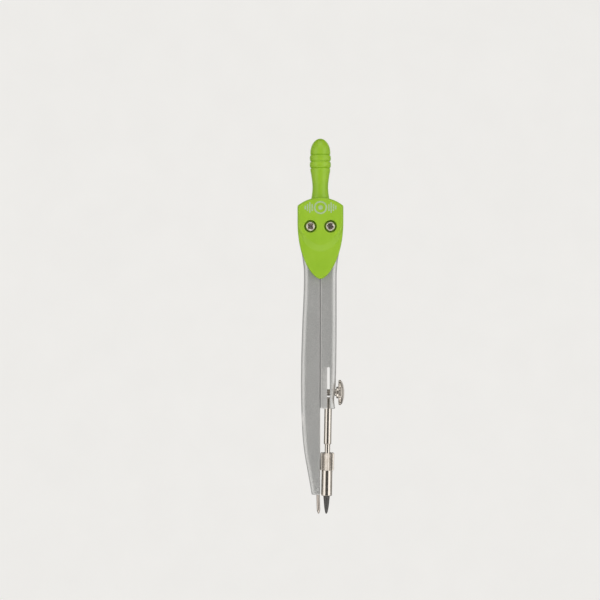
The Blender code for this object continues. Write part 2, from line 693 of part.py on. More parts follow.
def toothed_ring(radius, depth, teeth, height, shape):
    """A ring of evenly spaced teeth. Their shape is (share of the pitch, share of the depth) points."""
    ring = []
    for i in range(teeth):
        for share, sink in shape:
            turn = 2 * pi * (i + share) / teeth
            reach = radius - depth * sink
            ring.append((reach * cos(turn), reach * sin(turn), height))
    return ring


def toothed_body(name, teeth, shape, rings):
    """A loft through toothed rings, each given as (radius, tooth depth, height)."""
    return loft(name, [toothed_ring(radius, depth, teeth, height, shape) for radius, depth, height in rings])


def thumb_screw():
    """The clamp's screw: plain shank, hub, and a disc with a serrated rim and a domed face."""
    length = THUMB_FACE_X - THUMB_DISC_X
    rings = ((THUMB_RADIUS - 0.35, 0.0, 0.0),
             (THUMB_RADIUS, THUMB_TOOTH_DEPTH, 0.2),
             (THUMB_RADIUS, THUMB_TOOTH_DEPTH, THUMB_RIM_HEIGHT - 0.05),
             (THUMB_RADIUS - 0.3, 0.0, THUMB_RIM_HEIGHT + 0.12),
             (THUMB_RADIUS - 1.5, 0.0, THUMB_RIM_HEIGHT + 0.12))
    disc = toothed_body("thumb_screw", THUMB_TEETH, FLAT_TOOTH, rings)
    crown = [(radius, share * length) for radius, share in THUMB_CROWN]
    inside = THUMB_RIM_HEIGHT / 2
    join(disc, turned("crown", [(0.0, inside), (THUMB_CROWN[0][0], inside), *crown]))
    shank_end = THUMB_SHANK_END_X - THUMB_DISC_X
    hub = THUMB_HUB_X - THUMB_DISC_X
    profile = ((0.0, shank_end), (THUMB_SHANK_RADIUS - 0.3, shank_end), (THUMB_SHANK_RADIUS, shank_end + 0.3),
               (THUMB_SHANK_RADIUS, hub), (THUMB_HUB_RADIUS - 0.15, hub), (THUMB_HUB_RADIUS, hub + 0.15),
               (THUMB_HUB_RADIUS, 0.4), (0.0, 0.4))
    join(disc, turned("hub", profile, 24))
    centre = Vector((THUMB_DISC_X, 0.0, THUMB_Z))
    disc.data.transform(Matrix.Translation(centre) @ Matrix.Rotation(radians(90.0), 4, "Y"))
    return finish(disc, NICKEL, centre)


def holder_frame():
    """Stands a turned piece on the lead's point, along the lead holder's axis."""
    turn = (HOLDER_CLAMP - HOLDER_POINT).to_track_quat("Z", "Y").to_matrix().to_4x4()
    return Matrix.Translation(HOLDER_POINT) @ turn


def holder_line(height):
    return holder_frame() @ Vector((0.0, 0.0, height))


def lead_holder_body():
    """Rod, neck and split collet in one piece, bored from below for the lead."""
    bore, collet = COLLET_BORE_RADIUS, COLLET_RADIUS
    profile = ((0.0, ROD_TOP), (ROD_RADIUS - 0.3, ROD_TOP), (ROD_RADIUS, ROD_TOP - 0.3),
               (ROD_RADIUS, ROD_BOTTOM + 0.12), (ROD_RADIUS - 0.12, ROD_BOTTOM), (NECK_RADIUS, ROD_BOTTOM),
               (NECK_RADIUS, COLLET_TOP), (collet - 0.2, COLLET_TOP), (collet, COLLET_TOP - 0.2),
               (collet, COLLET_BOTTOM + 0.8), (bore + 0.1, COLLET_BOTTOM), (bore, COLLET_BOTTOM),
               (bore, COLLET_BORE_TOP), (0.0, COLLET_BORE_TOP + 0.4))
    piece = turned("lead_holder_body", profile, ROUND)
    half = COLLET_SLIT_WIDTH / 2
    across_x = box("slit_x", (-3.0, -half, COLLET_BOTTOM - 1.0), (3.0, half, COLLET_SLIT_TOP))
    across_y = box("slit_y", (-half, -3.0, COLLET_BOTTOM - 1.0), (half, 3.0, COLLET_SLIT_TOP))
    cut(piece, across_x, across_y)
    piece.data.transform(holder_frame())
    return finish(piece, NICKEL, holder_line(ROD_BOTTOM))


def lead_holder_sleeve():
    """Knurled collar and smooth sleeve in one piece, bored to close on the collet."""
    rings = ((COLLAR_RADIUS - 0.2, 0.0, COLLAR_TOP),
             (COLLAR_RADIUS, KNURL_DEPTH, COLLAR_TOP - 0.2),
             (COLLAR_RADIUS, KNURL_DEPTH, COLLAR_BOTTOM + 0.2),
             (COLLAR_RADIUS - 0.2, 0.0, COLLAR_BOTTOM))
    collar = toothed_body("lead_holder_sleeve", KNURL_TEETH, SHARP_TOOTH, rings)
    inside, above, below = COLLAR_BOTTOM + 1.0, COLLAR_TOP + 1.0, SLEEVE_BOTTOM - 1.0
    barrel = ((0.0, inside), (SLEEVE_RADIUS, inside), (SLEEVE_RADIUS, SLEEVE_BOTTOM + 0.15),
              (SLEEVE_RADIUS - 0.15, SLEEVE_BOTTOM), (0.0, SLEEVE_BOTTOM))
    bore = ((0.0, above), (SLEEVE_BORE_RADIUS, above), (SLEEVE_BORE_RADIUS, COLLET_BOTTOM + 0.5),
            (SLEEVE_MOUTH_RADIUS, SLEEVE_MOUTH_TOP), (SLEEVE_MOUTH_RADIUS, below), (0.0, below))
    join(collar, turned("barrel", barrel, ROUND))
    cut(collar, turned("bore", bore, ROUND))
    collar.data.transform(holder_frame())
    return finish(collar, NICKEL, holder_line(COLLAR_BOTTOM))


def lead():
    """The graphite, with a slightly blunt, bulging point."""
    shares = [(i / LEAD_STEPS) ** 2 for i in range(1, LEAD_STEPS + 1)]
    taper = [(LEAD_RADIUS * share ** LEAD_BULGE, LEAD_TAPER * share) for share in shares]
    profile = [(0.0, 0.0), (0.1, 0.01), *taper, (LEAD_RADIUS, LEAD_TOP), (0.0, LEAD_TOP)]
    piece = turned("lead", profile, 24, holder_frame())
    return finish(piece, GRAPHITE, holder_line(SLEEVE_BOTTOM))


def clear_scene():
    for found in list(bpy.data.objects):
        bpy.data.objects.remove(found)


def build():
    clear_scene()
    handle()
    front_cover()
    back_cover()
    for side, word in ((LEFT, "left"), (RIGHT, "right")):
        pivot_screw(f"pivot_screw_{word}", side)
        pivot_nut(f"pivot_nut_{word}", side)
        thrust_washer(f"thrust_washer_{word}", side)
        spring_washer(f"spring_washer_{word}", side)
    needle_leg()
    needle()
    lead_leg()
    thumb_screw()
    lead_holder_body()
    lead_holder_sleeve()
    lead()


build()
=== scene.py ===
"""The drawing compass as it looks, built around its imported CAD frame.

The compass stands upright: +Z runs from the points to the handle, and the front of the head faces -Y.
Shapes are worked out in millimetres and turned into metres when each piece is finished.
"""

import json
from math import acos, asin, atan2, cos, pi, radians, sin, sqrt, tan

import bmesh
import bpy
from mathutils import Matrix, Vector


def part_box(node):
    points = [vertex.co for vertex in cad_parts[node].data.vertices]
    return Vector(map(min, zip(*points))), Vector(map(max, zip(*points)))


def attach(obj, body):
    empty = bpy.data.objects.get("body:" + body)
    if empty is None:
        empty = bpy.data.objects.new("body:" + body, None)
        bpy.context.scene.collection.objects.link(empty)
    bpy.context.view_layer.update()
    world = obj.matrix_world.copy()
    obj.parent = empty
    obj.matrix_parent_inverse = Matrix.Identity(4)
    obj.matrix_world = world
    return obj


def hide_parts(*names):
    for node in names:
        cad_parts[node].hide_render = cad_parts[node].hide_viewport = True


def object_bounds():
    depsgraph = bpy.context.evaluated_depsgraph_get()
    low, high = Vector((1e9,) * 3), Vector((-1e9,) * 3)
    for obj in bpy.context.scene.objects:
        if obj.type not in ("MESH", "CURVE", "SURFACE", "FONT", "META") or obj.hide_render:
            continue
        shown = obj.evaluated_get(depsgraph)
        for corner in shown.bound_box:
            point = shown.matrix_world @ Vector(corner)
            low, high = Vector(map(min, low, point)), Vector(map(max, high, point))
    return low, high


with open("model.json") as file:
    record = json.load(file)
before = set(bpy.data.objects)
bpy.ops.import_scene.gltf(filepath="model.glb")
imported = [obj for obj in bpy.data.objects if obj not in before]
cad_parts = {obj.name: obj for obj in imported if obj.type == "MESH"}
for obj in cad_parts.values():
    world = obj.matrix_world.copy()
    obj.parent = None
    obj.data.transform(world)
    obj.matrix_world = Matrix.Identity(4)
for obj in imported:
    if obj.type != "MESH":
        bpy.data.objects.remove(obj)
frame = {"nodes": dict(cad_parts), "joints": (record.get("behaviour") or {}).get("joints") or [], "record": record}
CAD_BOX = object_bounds()

MM = 0.001
X, Y, Z = 0, 1, 2
FRONT, BACK = -1, 1
LEFT, RIGHT = -1, 1
SIDES = ((LEFT, "left"), (RIGHT, "right"))
BODY_OF = {node: body for body, nodes in frame["record"]["behaviour"]["bodies"].items() for node in nodes}
SLOT_OF = {part["node"]: part["material_slot"] for part in frame["record"]["subparts"]}
JOINTS = {joint["name"]: joint for joint in frame["joints"]}


def reach(node, axis):
    """A CAD node's lowest and highest place along one axis."""
    low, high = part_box(node)
    return low[axis] / MM, high[axis] / MM


def joint_place(name):
    return Vector(JOINTS[name]["pos_m"]) / MM


# Head
PIVOT_X, _, PIVOT_Z = joint_place("lead_leg_swing")
HEAD_HALF_WIDTH = reach("front_cover", X)[1]
HEAD_TIP_Z, HEAD_TOP_Z = reach("front_cover", Z)
HEAD_HALF_DEPTH = reach("back_cover", Y)[1]
PARTING_GAP = reach("back_cover", Y)[0]
HEAD_TOP_RADIUS = 11.4
HEAD_CORNER_RADIUS = 0.6
HEAD_TAPER_Z = 93.3
HEAD_BELLY_Z = 81.5
HEAD_TIP_HALF_WIDTH = 2.3
TONGUE_DEPTH = HEAD_HALF_DEPTH - 0.9
TONGUE_BEVEL = 0.45
TONGUE_BEVEL_DEPTH = 0.55
PARTING_EDGE = 0.08
CAVITY_DEPTH = 2.4
CAVITY_TOP_Z = 95.9
PLATEAU_INSET, PLATEAU_TURN_Z, PLATEAU_BOTTOM_Z, PLATEAU_POWER = 0.75, 92.5, 86.2, 1.6
RAMP_INSET, RAMP_TURN_Z, RAMP_BOTTOM_Z, RAMP_POWER = 0.5, 92.0, 83.4, 2.0
RAMP_SIDE_INSET = 0.04
SIDE_LOW_Z, SIDE_HIGH_Z = 88.0, 93.0
TOP_STEPS, CORNER_STEPS, TONGUE_STEPS = 18, 6, 44
HOLE_EDGE = 0.14
SCREW_HOLE_RADIUS = 1.1
COUNTERBORE_RADIUS = 2.0
COUNTERBORE_FLOOR = 3.5
NUT_POCKET_FLATS = 4.2
NUT_POCKET_FLOOR = 3.0

# Handle
HANDLE_TOP_Z = reach("handle", Z)[1]
DOME_BASE_Z = 115.4
DOME_RADIUS = 3.215
BEAD_CREST, BEAD_GROOVE = 3.39, 2.96
BEAD_CENTRES = (113.75, 111.65)
BEAD_HALF_HEIGHT = 0.95
GRIP_PROFILE = ((3.2, 110.25), (3.12, 109.4), (2.885, 108.2), (2.585, 105.95), (2.5, 104.4),
                (2.6, 102.9), (2.72, 101.9), (2.875, 101.1))
STEM_RADIUS = 2.875
STEM_CLEARANCE = 0.1
STEM_SHOULDER_Z = 98.6
STEM_NECK_RADIUS = 2.0
KEY_BOTTOM_Z = reach("handle", Z)[0]
KEY_TOP_Z = KEY_BOTTOM_Z + 1.0
KEY_HALF_X, KEY_HALF_Y = 2.7, 2.3

# Printed mark
MARK_Z = 97.75
MARK_THICKNESS = 0.02
MARK_RING_RADIUS = 2.1
MARK_RING_WIDTH = 0.5
MARK_DOT_RADIUS = 0.75
MARK_TICK_WIDTH = 0.42
MARK_TICK_PITCH = 0.74
MARK_TICK_HEIGHTS = (2.2, 3.4, 2.2, 1.2)

# Pivot hardware
SCREW_TOP = -reach("pivot_screw_left", Y)[0]
SCREW_END = reach("pivot_screw_left", Y)[1]
SCREW_HEAD_RADIUS = reach("pivot_screw_left", Z)[1] - PIVOT_Z
SCREW_HEAD_HEIGHT = 1.2
SCREW_SHANK_RADIUS = 1.0
CROSS_TURN = {LEFT: 45.0, RIGHT: 12.0}
CROSS_REACH, CROSS_FOOT = 1.25, 0.55
CROSS_HALF_WIDTH, CROSS_FOOT_HALF_WIDTH = 0.31, 0.18
CROSS_DEPTH = 0.85
NUT_NEAR, NUT_FAR = reach("pivot_nut_left", Y)
NUT_FLATS = 4.0

# Legs
LEG_GAP_HALF = 0.2
LEG_TOP_Z = 89.2
LEG_HALF_DEPTH = reach("lead_leg", Y)[1]
LEG_TIP_HALF_DEPTH = 1.55
LEG_TAPER_TOP_Z = 62.0
LEG_CROWN_WIDTH, LEG_CROWN_DROP = 1.9, 1.25
LEG_CROWN_SHARE = 0.7
LEG_INNER_CHAMFER = 0.14
LEG_LIP_X, LEG_LIP_Y = 0.04, 0.8
LEG_END_ROUND = 0.25
NEEDLE_LEG_END_Z = 6.2
NEEDLE_LEG_EDGE = ((89.2, 6.6), (85.0, 6.2), (81.0, 5.6), (77.5, 5.25), (71.0, 5.32), (61.0, 5.75),
                   (50.0, 6.1), (41.0, 6.2), (33.0, 6.04), (25.0, 5.68), (19.2, 5.03),
                   (12.2, 3.8), (6.2, 2.75))
LEAD_LEG_END_Z = reach("lead_leg", Z)[0]
LEAD_LEG_EDGE = ((89.2, 6.6), (85.0, 6.2), (81.0, 5.6), (77.5, 5.25), (71.0, 5.2), (61.0, 5.2),
                 (50.0, 5.12), (42.5, 4.95), (39.0, 4.68), (37.0, 4.42), (35.3, 4.5), (33.7, 4.75))

# Gear sectors
GEAR_TEETH = 14
PRESSURE_ANGLE = radians(25.0)
ADDENDUM, DEDENDUM = 0.85, 1.1
BACKLASH = 0.12
SECTOR_HALF_DEPTH = 1.7
SECTOR_BACK_RADIUS = 3.6
PIVOT_BORE_RADIUS = 1.06

# Clamp and thumb screw
SLOT_LEFT_X, SLOT_RIGHT_X = 2.15, 3.05
SLOT_MIDDLE_X = (SLOT_LEFT_X + SLOT_RIGHT_X) / 2
SLOT_TOP_Z = 47.0
THUMB_AXIS = joint_place("thumb_screw_turn")
THUMB_RADIUS = reach("thumb_screw", Z)[1] - THUMB_AXIS.z
THUMB_END_X, THUMB_FACE_X = reach("thumb_screw", X)
THUMB_THICKNESS = THUMB_FACE_X - THUMB_AXIS.x
THUMB_SHANK_RADIUS = 1.1
THUMB_HUB_X = 5.1
THUMB_HUB_RADIUS = 1.85
THUMB_TEETH = 30
THUMB_TOOTH_DEPTH = 0.26
THUMB_RIM_HEIGHT = 0.85
THUMB_CROWN = ((3.66, 0.5), (3.5, 0.62), (3.1, 0.735), (2.3, 0.865), (1.3, 0.965), (0.55, 0.995),
               (0.0, 1.0))
THREAD_PITCH = 0.45
THREAD_DEPTH = 0.16

# Lead holder, along its own axis from the lead's point
HOLDER_UP = -Vector(JOINTS["lead_holder_slide"]["axis"])
HOLDER_POINT = joint_place("collet_sleeve_turn")
ROD_RADIUS = 1.225
ROD_TOP, ROD_BOTTOM = 37.25, 22.3
ROD_BORE_RADIUS = 1.29
NECK_RADIUS = 0.88
COLLET_RADIUS = 1.34
COLLET_TOP, COLLET_BOTTOM = 19.4, 6.5
COLLET_BORE_RADIUS = 1.06
COLLET_BORE_TOP = 17.6
COLLET_SLIT_HALF = 0.15
COLLET_SLIT_TOP = 13.0
COLLAR_RADIUS = 2.2
COLLAR_TOP, COLLAR_BOTTOM = 19.55, 13.95
KNURL_TEETH = 26
KNURL_DEPTH = 0.19
SLEEVE_RADIUS = 1.75
SLEEVE_BOTTOM = 5.86
SLEEVE_BORE_RADIUS = 1.44
SLEEVE_MOUTH_RADIUS = 1.1
LEAD_RADIUS = 1.0
LEAD_TOP = 17.0
LEAD_TAPER = 5.2
LEAD_BULGE = 0.42

# Needle
NEEDLE_RADIUS = 0.55
NEEDLE_TOP = reach("needle", Z)[1]
NEEDLE_TIP_X, NEEDLE_TOP_X = -0.55, -0.95
NEEDLE_CONE = 1.15
NEEDLE_BORE_RADIUS = 0.6
CRIMP_Z = 7.9
CRIMP_RADIUS = 0.55
CRIMP_DEPTH = 0.34

# Camera and studio
CAMERA_PLACE = (-0.0065, -0.6, 0.0684)
CAMERA_SENSOR, CAMERA_LENS = 36.0, 112.5
FLOOR_Z = -1.0
STAGE_RADIUS, STAGE_COVE, STAGE_HEIGHT = 1.6, 0.7, 2.8
FRONT_STRENGTHS = {LEFT: 1.2, RIGHT: 1.35}


# Shapes

SMOOTH_ANGLE = radians(32.0)


def sweep(steps, start=0.0, end=pi / 2):
    """Evenly spaced values from start to end; a quarter turn's angles unless these are given."""
    return [start + (end - start) * i / steps for i in range(steps + 1)]


def smooth_step(low, high, value):
    """0 at low, 1 at high, and a smooth rise between them."""
    share = min(1.0, max(0.0, (value - low) / (high - low)))
    return share * share * (3.0 - 2.0 * share)


def placed(name, data):
    """A new object in the scene."""
    made = bpy.data.objects.new(name, data)
    bpy.context.scene.collection.objects.link(made)
    return made


def from_bmesh(name, bm):
    """An object whose mesh is bm, with its faces turned outward."""
    bmesh.ops.recalc_face_normals(bm, faces=bm.faces)
    mesh = bpy.data.meshes.new(name)
    bm.to_mesh(mesh)
    bm.free()
    return placed(name, mesh)


def combine(piece, other, operation):
    """Joins other to piece, or cuts it away, and removes other."""
    modifier = piece.modifiers.new(operation, "BOOLEAN")
    modifier.operation = operation
    modifier.solver = "EXACT"
    modifier.object = other
    graph = bpy.context.evaluated_depsgraph_get()
    result = bpy.data.meshes.new_from_object(piece.evaluated_get(graph))
    piece.modifiers.clear()
    piece.data = result
    bpy.data.objects.remove(other)
    weld(piece)
    return piece


def weld(piece, distance=0.0005):
    """Joins points that a Boolean has left on top of each other."""
    bm = bmesh.new()
    bm.from_mesh(piece.data)
    bmesh.ops.remove_doubles(bm, verts=bm.verts, dist=distance)
    bmesh.ops.dissolve_degenerate(bm, edges=bm.edges, dist=distance)
    bm.to_mesh(piece.data)
    bm.free()


def cut(piece, *cutters):
    for cutter in cutters:
        combine(piece, cutter, "DIFFERENCE")
    return piece


def join(piece, *others):
    for other in others:
        combine(piece, other, "UNION")
    return piece


def loft(name, rings):
    """A closed body through rings with the same number of points, capped at both ends."""
    bm = bmesh.new()
    loops = [[bm.verts.new(point) for point in ring] for ring in rings]
    count = len(loops[0])
    for lower, upper in zip(loops, loops[1:]):
        for i in range(count):
            j = (i + 1) % count
            bm.faces.new((lower[i], lower[j], upper[j], upper[i]))
    bm.faces.new(loops[0])
    bm.faces.new(loops[-1])
    return from_bmesh(name, bm)


def turned(name, profile, sides=64, placing=None):
    """A body of revolution about +Z, or about placing's Z, from a profile of (radius, height) points.
    A profile that starts off the axis is closed into a loop."""
    bm = bmesh.new()
    loops = []
    for radius, height in profile:
        turns = sweep(sides, end=2 * pi)[:-1] if radius > 0.0 else [0.0]
        loops.append([bm.verts.new((radius * cos(a), radius * sin(a), height)) for a in turns])
    pairs = list(zip(loops, loops[1:]))
    if profile[0][0] > 0.0:
        pairs.append((loops[-1], loops[0]))
    for lower, upper in pairs:
        for i in range(sides):
            j = (i + 1) % sides
            corners = (lower[i % len(lower)], lower[j % len(lower)],
                       upper[j % len(upper)], upper[i % len(upper)])
            bm.faces.new(list(dict.fromkeys(corners)))
    piece = from_bmesh(name, bm)
    if placing is not None:
        piece.data.transform(placing)
    return piece


def prism(name, outline, near, far):
    """An outline of (x, z) points, extruded along Y."""
    return loft(name, [[(x, depth, z) for x, z in outline] for depth in (near, far)])


def rectangle(low_x, low_z, high_x, high_z):
    return (low_x, low_z), (high_x, low_z), (high_x, high_z), (low_x, high_z)


def box(name, low, high):
    return prism(name, rectangle(low[0], low[2], high[0], high[2]), low[1], high[1])


def standing(foot, up):
    """Stands a turned piece on foot, with its axis along up."""
    return Matrix.Translation(foot) @ up.to_track_quat("Z", "Y").to_matrix().to_4x4()


def rod(name, radius, start, end):
    """A plain cylinder from one point to another, for cutting."""
    start, end = Vector(start), Vector(end)
    profile = rectangle(0.0, 0.0, radius, (end - start).length)
    return turned(name, profile, placing=standing(start, end - start))


def rounded(points, radius, closed=False, steps=4):
    """The outline with its corners rounded. Corners that are nearly straight stay as they are."""
    points = [Vector(point) for point in points]
    last = len(points) - 1
    result = []
    for i, corner in enumerate(points):
        before = points[i - 1] - corner
        after = points[(i + 1) % len(points)] - corner
        back, on = before.normalized(), after.normalized()
        opening = acos(max(-1.0, min(1.0, back.dot(on))))
        turn = pi - opening
        if turn < radians(18.0) or not closed and i in (0, last):
            result.append(tuple(corner))
            continue
        leg = min(radius / tan(opening / 2), 0.45 * before.length, 0.45 * after.length)
        bend = leg * tan(opening / 2)
        centre = corner + (back + on).normalized() * bend / sin(opening / 2)
        start = corner + back * leg - centre
        end = corner + on * leg - centre
        for step in range(steps + 1):
            share = turn * step / steps
            arm = (start * sin(turn - share) + end * sin(share)) / sin(turn)
            result.append(tuple(centre + arm))
    return result


def weighted_sum(knots, weights):
    return tuple(sum(weight * knot[i] for weight, knot in zip(weights, knots)) for i in range(2))


def smooth_curve(points, steps):
    """Points along a Catmull-Rom curve through the given points."""
    ends = [points[0], *points, points[-1]]
    curve = []
    for knots in zip(ends, ends[1:], ends[2:], ends[3:]):
        for step in range(steps):
            t = step / steps
            weights = ((-t + 2 * t * t - t ** 3) / 2, (2 - 5 * t * t + 3 * t ** 3) / 2,
                       (t + 4 * t * t - 3 * t ** 3) / 2, (-t * t + t ** 3) / 2)
            curve.append(weighted_sum(knots, weights))
    curve.append(tuple(points[-1]))
    return curve


def bezier(knots, steps):
    """Points along a cubic curve, its first point left out."""
    curve = []
    for t in sweep(steps, end=1.0)[1:]:
        curve.append(weighted_sum(knots, ((1 - t) ** 3, 3 * t * (1 - t) ** 2, 3 * t * t * (1 - t), t ** 3)))
    return curve


def along_y(x, z):
    """Lays a turned piece's axis along +Y, through (x, z)."""
    return Matrix.Translation((x, 0.0, z)) @ Matrix.Rotation(radians(-90.0), 4, "X")


def quarter(steps):
    """(sine, 1 - cosine) shares along a quarter turn, for rounding an edge."""
    return [(sin(turn), 1.0 - cos(turn)) for turn in sweep(steps)]


# Materials

class Look:
    """A material being made: its nodes, and its Principled shader's sockets."""

    def __init__(self, name, roughness, metallic=0.0):
        self.material = bpy.data.materials.new(name)
        self.material.use_nodes = True
        self.nodes = self.material.node_tree.nodes
        self.links = self.material.node_tree.links
        self.shader = self.nodes["Principled BSDF"]
        self.give("Roughness", roughness)
        self.give("Metallic", metallic)
        self.place = self.node("TexCoord").outputs["Object"]
        self.normal = None

    def feed(self, socket, given):
        """Links another node's output to the socket, or sets the socket's value or colour."""
        if isinstance(given, bpy.types.NodeSocket):
            self.links.new(given, socket)
        else:
            socket.default_value = given

    def give(self, socket, given):
        self.feed(self.shader.inputs[socket], given)

    def node(self, kind):
        return self.nodes.new("ShaderNode" + kind)

    def math(self, operation, *values):
        node = self.node("Math")
        node.operation = operation
        for given, socket in zip(values, node.inputs):
            self.feed(socket, given)
        return node.outputs[0]

    def vector(self, operation, value, other=(0.0, 0.0, 0.0), output="Vector"):
        node = self.node("VectorMath")
        node.operation = operation
        node.inputs[1].default_value = other
        self.links.new(value, node.inputs[0])
        return node.outputs[output]

    def noise(self, size, stretch=(1.0, 1.0, 1.0), detail=2.0, turn=(0.0, 0.0, 0.0), place=None):
        """Noise from 0 to 1. Its features are about size millimetres across, longer along stretched axes."""
        mapping = self.node("Mapping")
        mapping.vector_type = "TEXTURE"
        mapping.inputs["Rotation"].default_value = turn
        mapping.inputs["Scale"].default_value = [size * MM * share for share in stretch]
        self.links.new(place or self.place, mapping.inputs["Vector"])
        texture = self.node("TexNoise")
        texture.inputs["Scale"].default_value = 1.0
        texture.inputs["Detail"].default_value = detail
        self.links.new(mapping.outputs["Vector"], texture.inputs["Vector"])
        return texture.outputs[0]

    def span(self, value, low=0.3, high=0.7, start=0.0, end=1.0):
        """value, stretched so that low becomes start and high becomes end, and held between them."""
        node = self.node("MapRange")
        for socket, given in (("From Min", low), ("From Max", high), ("To Min", start), ("To Max", end)):
            node.inputs[socket].default_value = given
        self.links.new(value, node.inputs["Value"])
        return node.outputs["Result"]

    def blend(self, share, first, second):
        """A colour between two others, each a colour or another node's output."""
        node = self.node("Mix")
        node.data_type = "RGBA"
        self.links.new(share, node.inputs[0])
        for given, socket in ((first, node.inputs[6]), (second, node.inputs[7])):
            self.feed(socket, (*given, 1.0) if isinstance(given, tuple) else given)
        return node.outputs[2]

    def roughness(self, base, marks, extra):
        """Roughness from base, with extra added on the marks."""
        self.give("Roughness", self.math("ADD", base, self.math("MULTIPLY", marks, extra)))

    def bump(self, height, microns, strength=1.0):
        """Raises the surface by up to this many microns where height is 1."""
        node = self.node("Bump")
        node.inputs["Strength"].default_value = strength
        node.inputs["Distance"].default_value = microns * 1e-6
        self.links.new(height, node.inputs["Height"])
        if self.normal is not None:
            self.links.new(self.normal, node.inputs["Normal"])
        self.normal = node.outputs["Normal"]

    def edges(self, low, high):
        """1 on edges that stick out, 0 elsewhere."""
        pointiness = self.node("NewGeometry").outputs["Pointiness"]
        return self.span(pointiness, low, high)

    def scratches(self, size, length, threshold, turn):
        """Thin straight marks: 1 on a mark, 0 elsewhere."""
        field = self.noise(size, (1.0, 1.0, length), 0.0, turn)
        return self.span(field, threshold, threshold + 0.03)

    def done(self):
        if self.normal is not None:
            self.give("Normal", self.normal)
        return self.material


def lime_plastic():
    """Glossy moulded plastic with faint flow marks, a fine mould texture and a few handling scratches."""
    look = Look("lime_moulded_plastic", 0.34)
    clouds = look.noise(6.0, detail=3.0)
    flow = look.noise(1.1, (1.0, 1.0, 7.0))
    colour = look.blend(look.span(clouds), (0.300, 0.545, 0.016), (0.345, 0.590, 0.024))
    colour = look.blend(look.span(flow, 0.35, 0.75, 0.0, 0.15), colour, (0.385, 0.630, 0.040))
    look.give("Base Color", colour)
    grain = look.noise(0.09)
    marks = look.scratches(0.07, 40.0, 0.75, (0.5, 0.3, 0.2))
    polish = look.span(look.noise(2.4, detail=4.0), 0.3, 0.7, 0.28, 0.4)
    look.roughness(polish, marks, 0.2)
    look.bump(grain, 6.0, 0.35)
    look.bump(look.noise(1.4, detail=1.0), 6.0, 0.25)
    look.bump(look.math("MULTIPLY", marks, -1.0), 3.0, 0.5)
    look.give("IOR", 1.5)
    return look.done()


def satin_silver():
    """Silver paint with a sandy grain over a zinc casting, with a painted highlight along its edges."""
    look = Look("satin_silver_paint", 0.4, 0.6)
    flakes = look.noise(0.07, detail=1.0)
    sand = look.noise(0.28, detail=3.0)
    clouds = look.noise(7.0, (1.0, 1.0, 2.0), 3.0)
    colour = look.blend(look.span(clouds), (0.52, 0.528, 0.52), (0.58, 0.585, 0.575))
    colour = look.blend(look.span(sand, 0.35, 0.7, 0.0, 0.55), colour, (0.74, 0.74, 0.725))
    colour = look.blend(look.span(flakes, 0.62, 0.78, 0.0, 0.6), colour, (0.86, 0.86, 0.84))
    # Painted highlight: convex edges are painted near-white, as if they were catching the light.
    colour = look.blend(look.edges(0.53, 0.6), colour, (0.92, 0.91, 0.89))
    look.give("Base Color", colour)
    marks = look.scratches(0.09, 40.0, 0.75, (0.25, 0.15, 0.0))
    look.roughness(look.span(sand, 0.3, 0.7, 0.33, 0.46), marks, -0.06)
    look.bump(sand, 16.0, 0.5)
    look.bump(flakes, 6.0, 0.4)
    return look.done()


def radius_about(look, centre):
    """The distance from a line along X through centre, as a place to take noise at."""
    away = look.vector("SUBTRACT", look.place, [value * MM for value in centre])
    across = look.vector("MULTIPLY", away, (0.0, 1.0, 1.0))
    split = look.node("SeparateXYZ")
    look.links.new(look.place, split.inputs[0])
    joined = look.node("CombineXYZ")
    look.links.new(split.outputs["X"], joined.inputs["X"])
    look.links.new(look.vector("LENGTH", across, output="Value"), joined.inputs["Y"])
    return joined.outputs[0]


def nickel(name, polish=(0.10, 0.19), lines_along_x=False):
    """Polished nickel plate over turned brass, with fine tool marks round its axis and a little haze."""
    look = Look(name, polish[0], 1.0)
    if lines_along_x:
        rings = look.noise(0.05, place=radius_about(look, THUMB_AXIS))
    else:
        rings = look.noise(0.05, (60.0, 60.0, 1.0))
    haze = look.noise(1.6, detail=4.0)
    spots = look.span(look.noise(0.5, detail=3.0), 0.66, 0.74)
    colour = look.blend(look.span(haze), (0.70, 0.645, 0.575), (0.77, 0.72, 0.66))
    colour = look.blend(look.math("MULTIPLY", spots, 0.35), colour, (0.52, 0.45, 0.37))
    look.give("Base Color", colour)
    look.roughness(look.span(haze, 0.3, 0.7, *polish), spots, 0.12)
    look.bump(rings, 1.4, 0.5)
    look.bump(look.noise(1.1, (1.0, 1.0, 3.0), 1.0), 5.0, 0.35)
    return look.done()


def screw_steel():
    """Nickel-plated steel, scuffed by a driver."""
    look = Look("plated_screw_steel", 0.26, 1.0)
    haze = look.noise(0.7, detail=4.0)
    scuffs = look.scratches(0.12, 9.0, 0.68, (0.2, 1.2, 0.4))
    colour = look.blend(look.span(haze), (0.50, 0.455, 0.405), (0.66, 0.615, 0.56))
    # Painted highlight: the head's convex edges are painted a light cream, as if they were catching the light.
    colour = look.blend(look.edges(0.54, 0.66), colour, (0.86, 0.80, 0.72))
    look.give("Base Color", colour)
    look.roughness(look.span(haze, 0.3, 0.7, 0.2, 0.34), scuffs, 0.12)
    look.bump(scuffs, 2.0, 0.6)
    look.bump(look.noise(0.2), 4.0, 0.4)
    return look.done()


def washer_steel():
    """Bright rolled steel with straight rolling lines."""
    look = Look("rolled_washer_steel", 0.3, 1.0)
    lines = look.noise(0.06, (40.0, 40.0, 1.0))
    haze = look.noise(1.0, detail=3.0)
    look.give("Base Color", look.blend(haze, (0.52, 0.52, 0.52), (0.66, 0.66, 0.65)))
    look.give("Roughness", look.span(lines, 0.3, 0.7, 0.24, 0.38))
    look.bump(lines, 1.5, 0.6)
    return look.done()


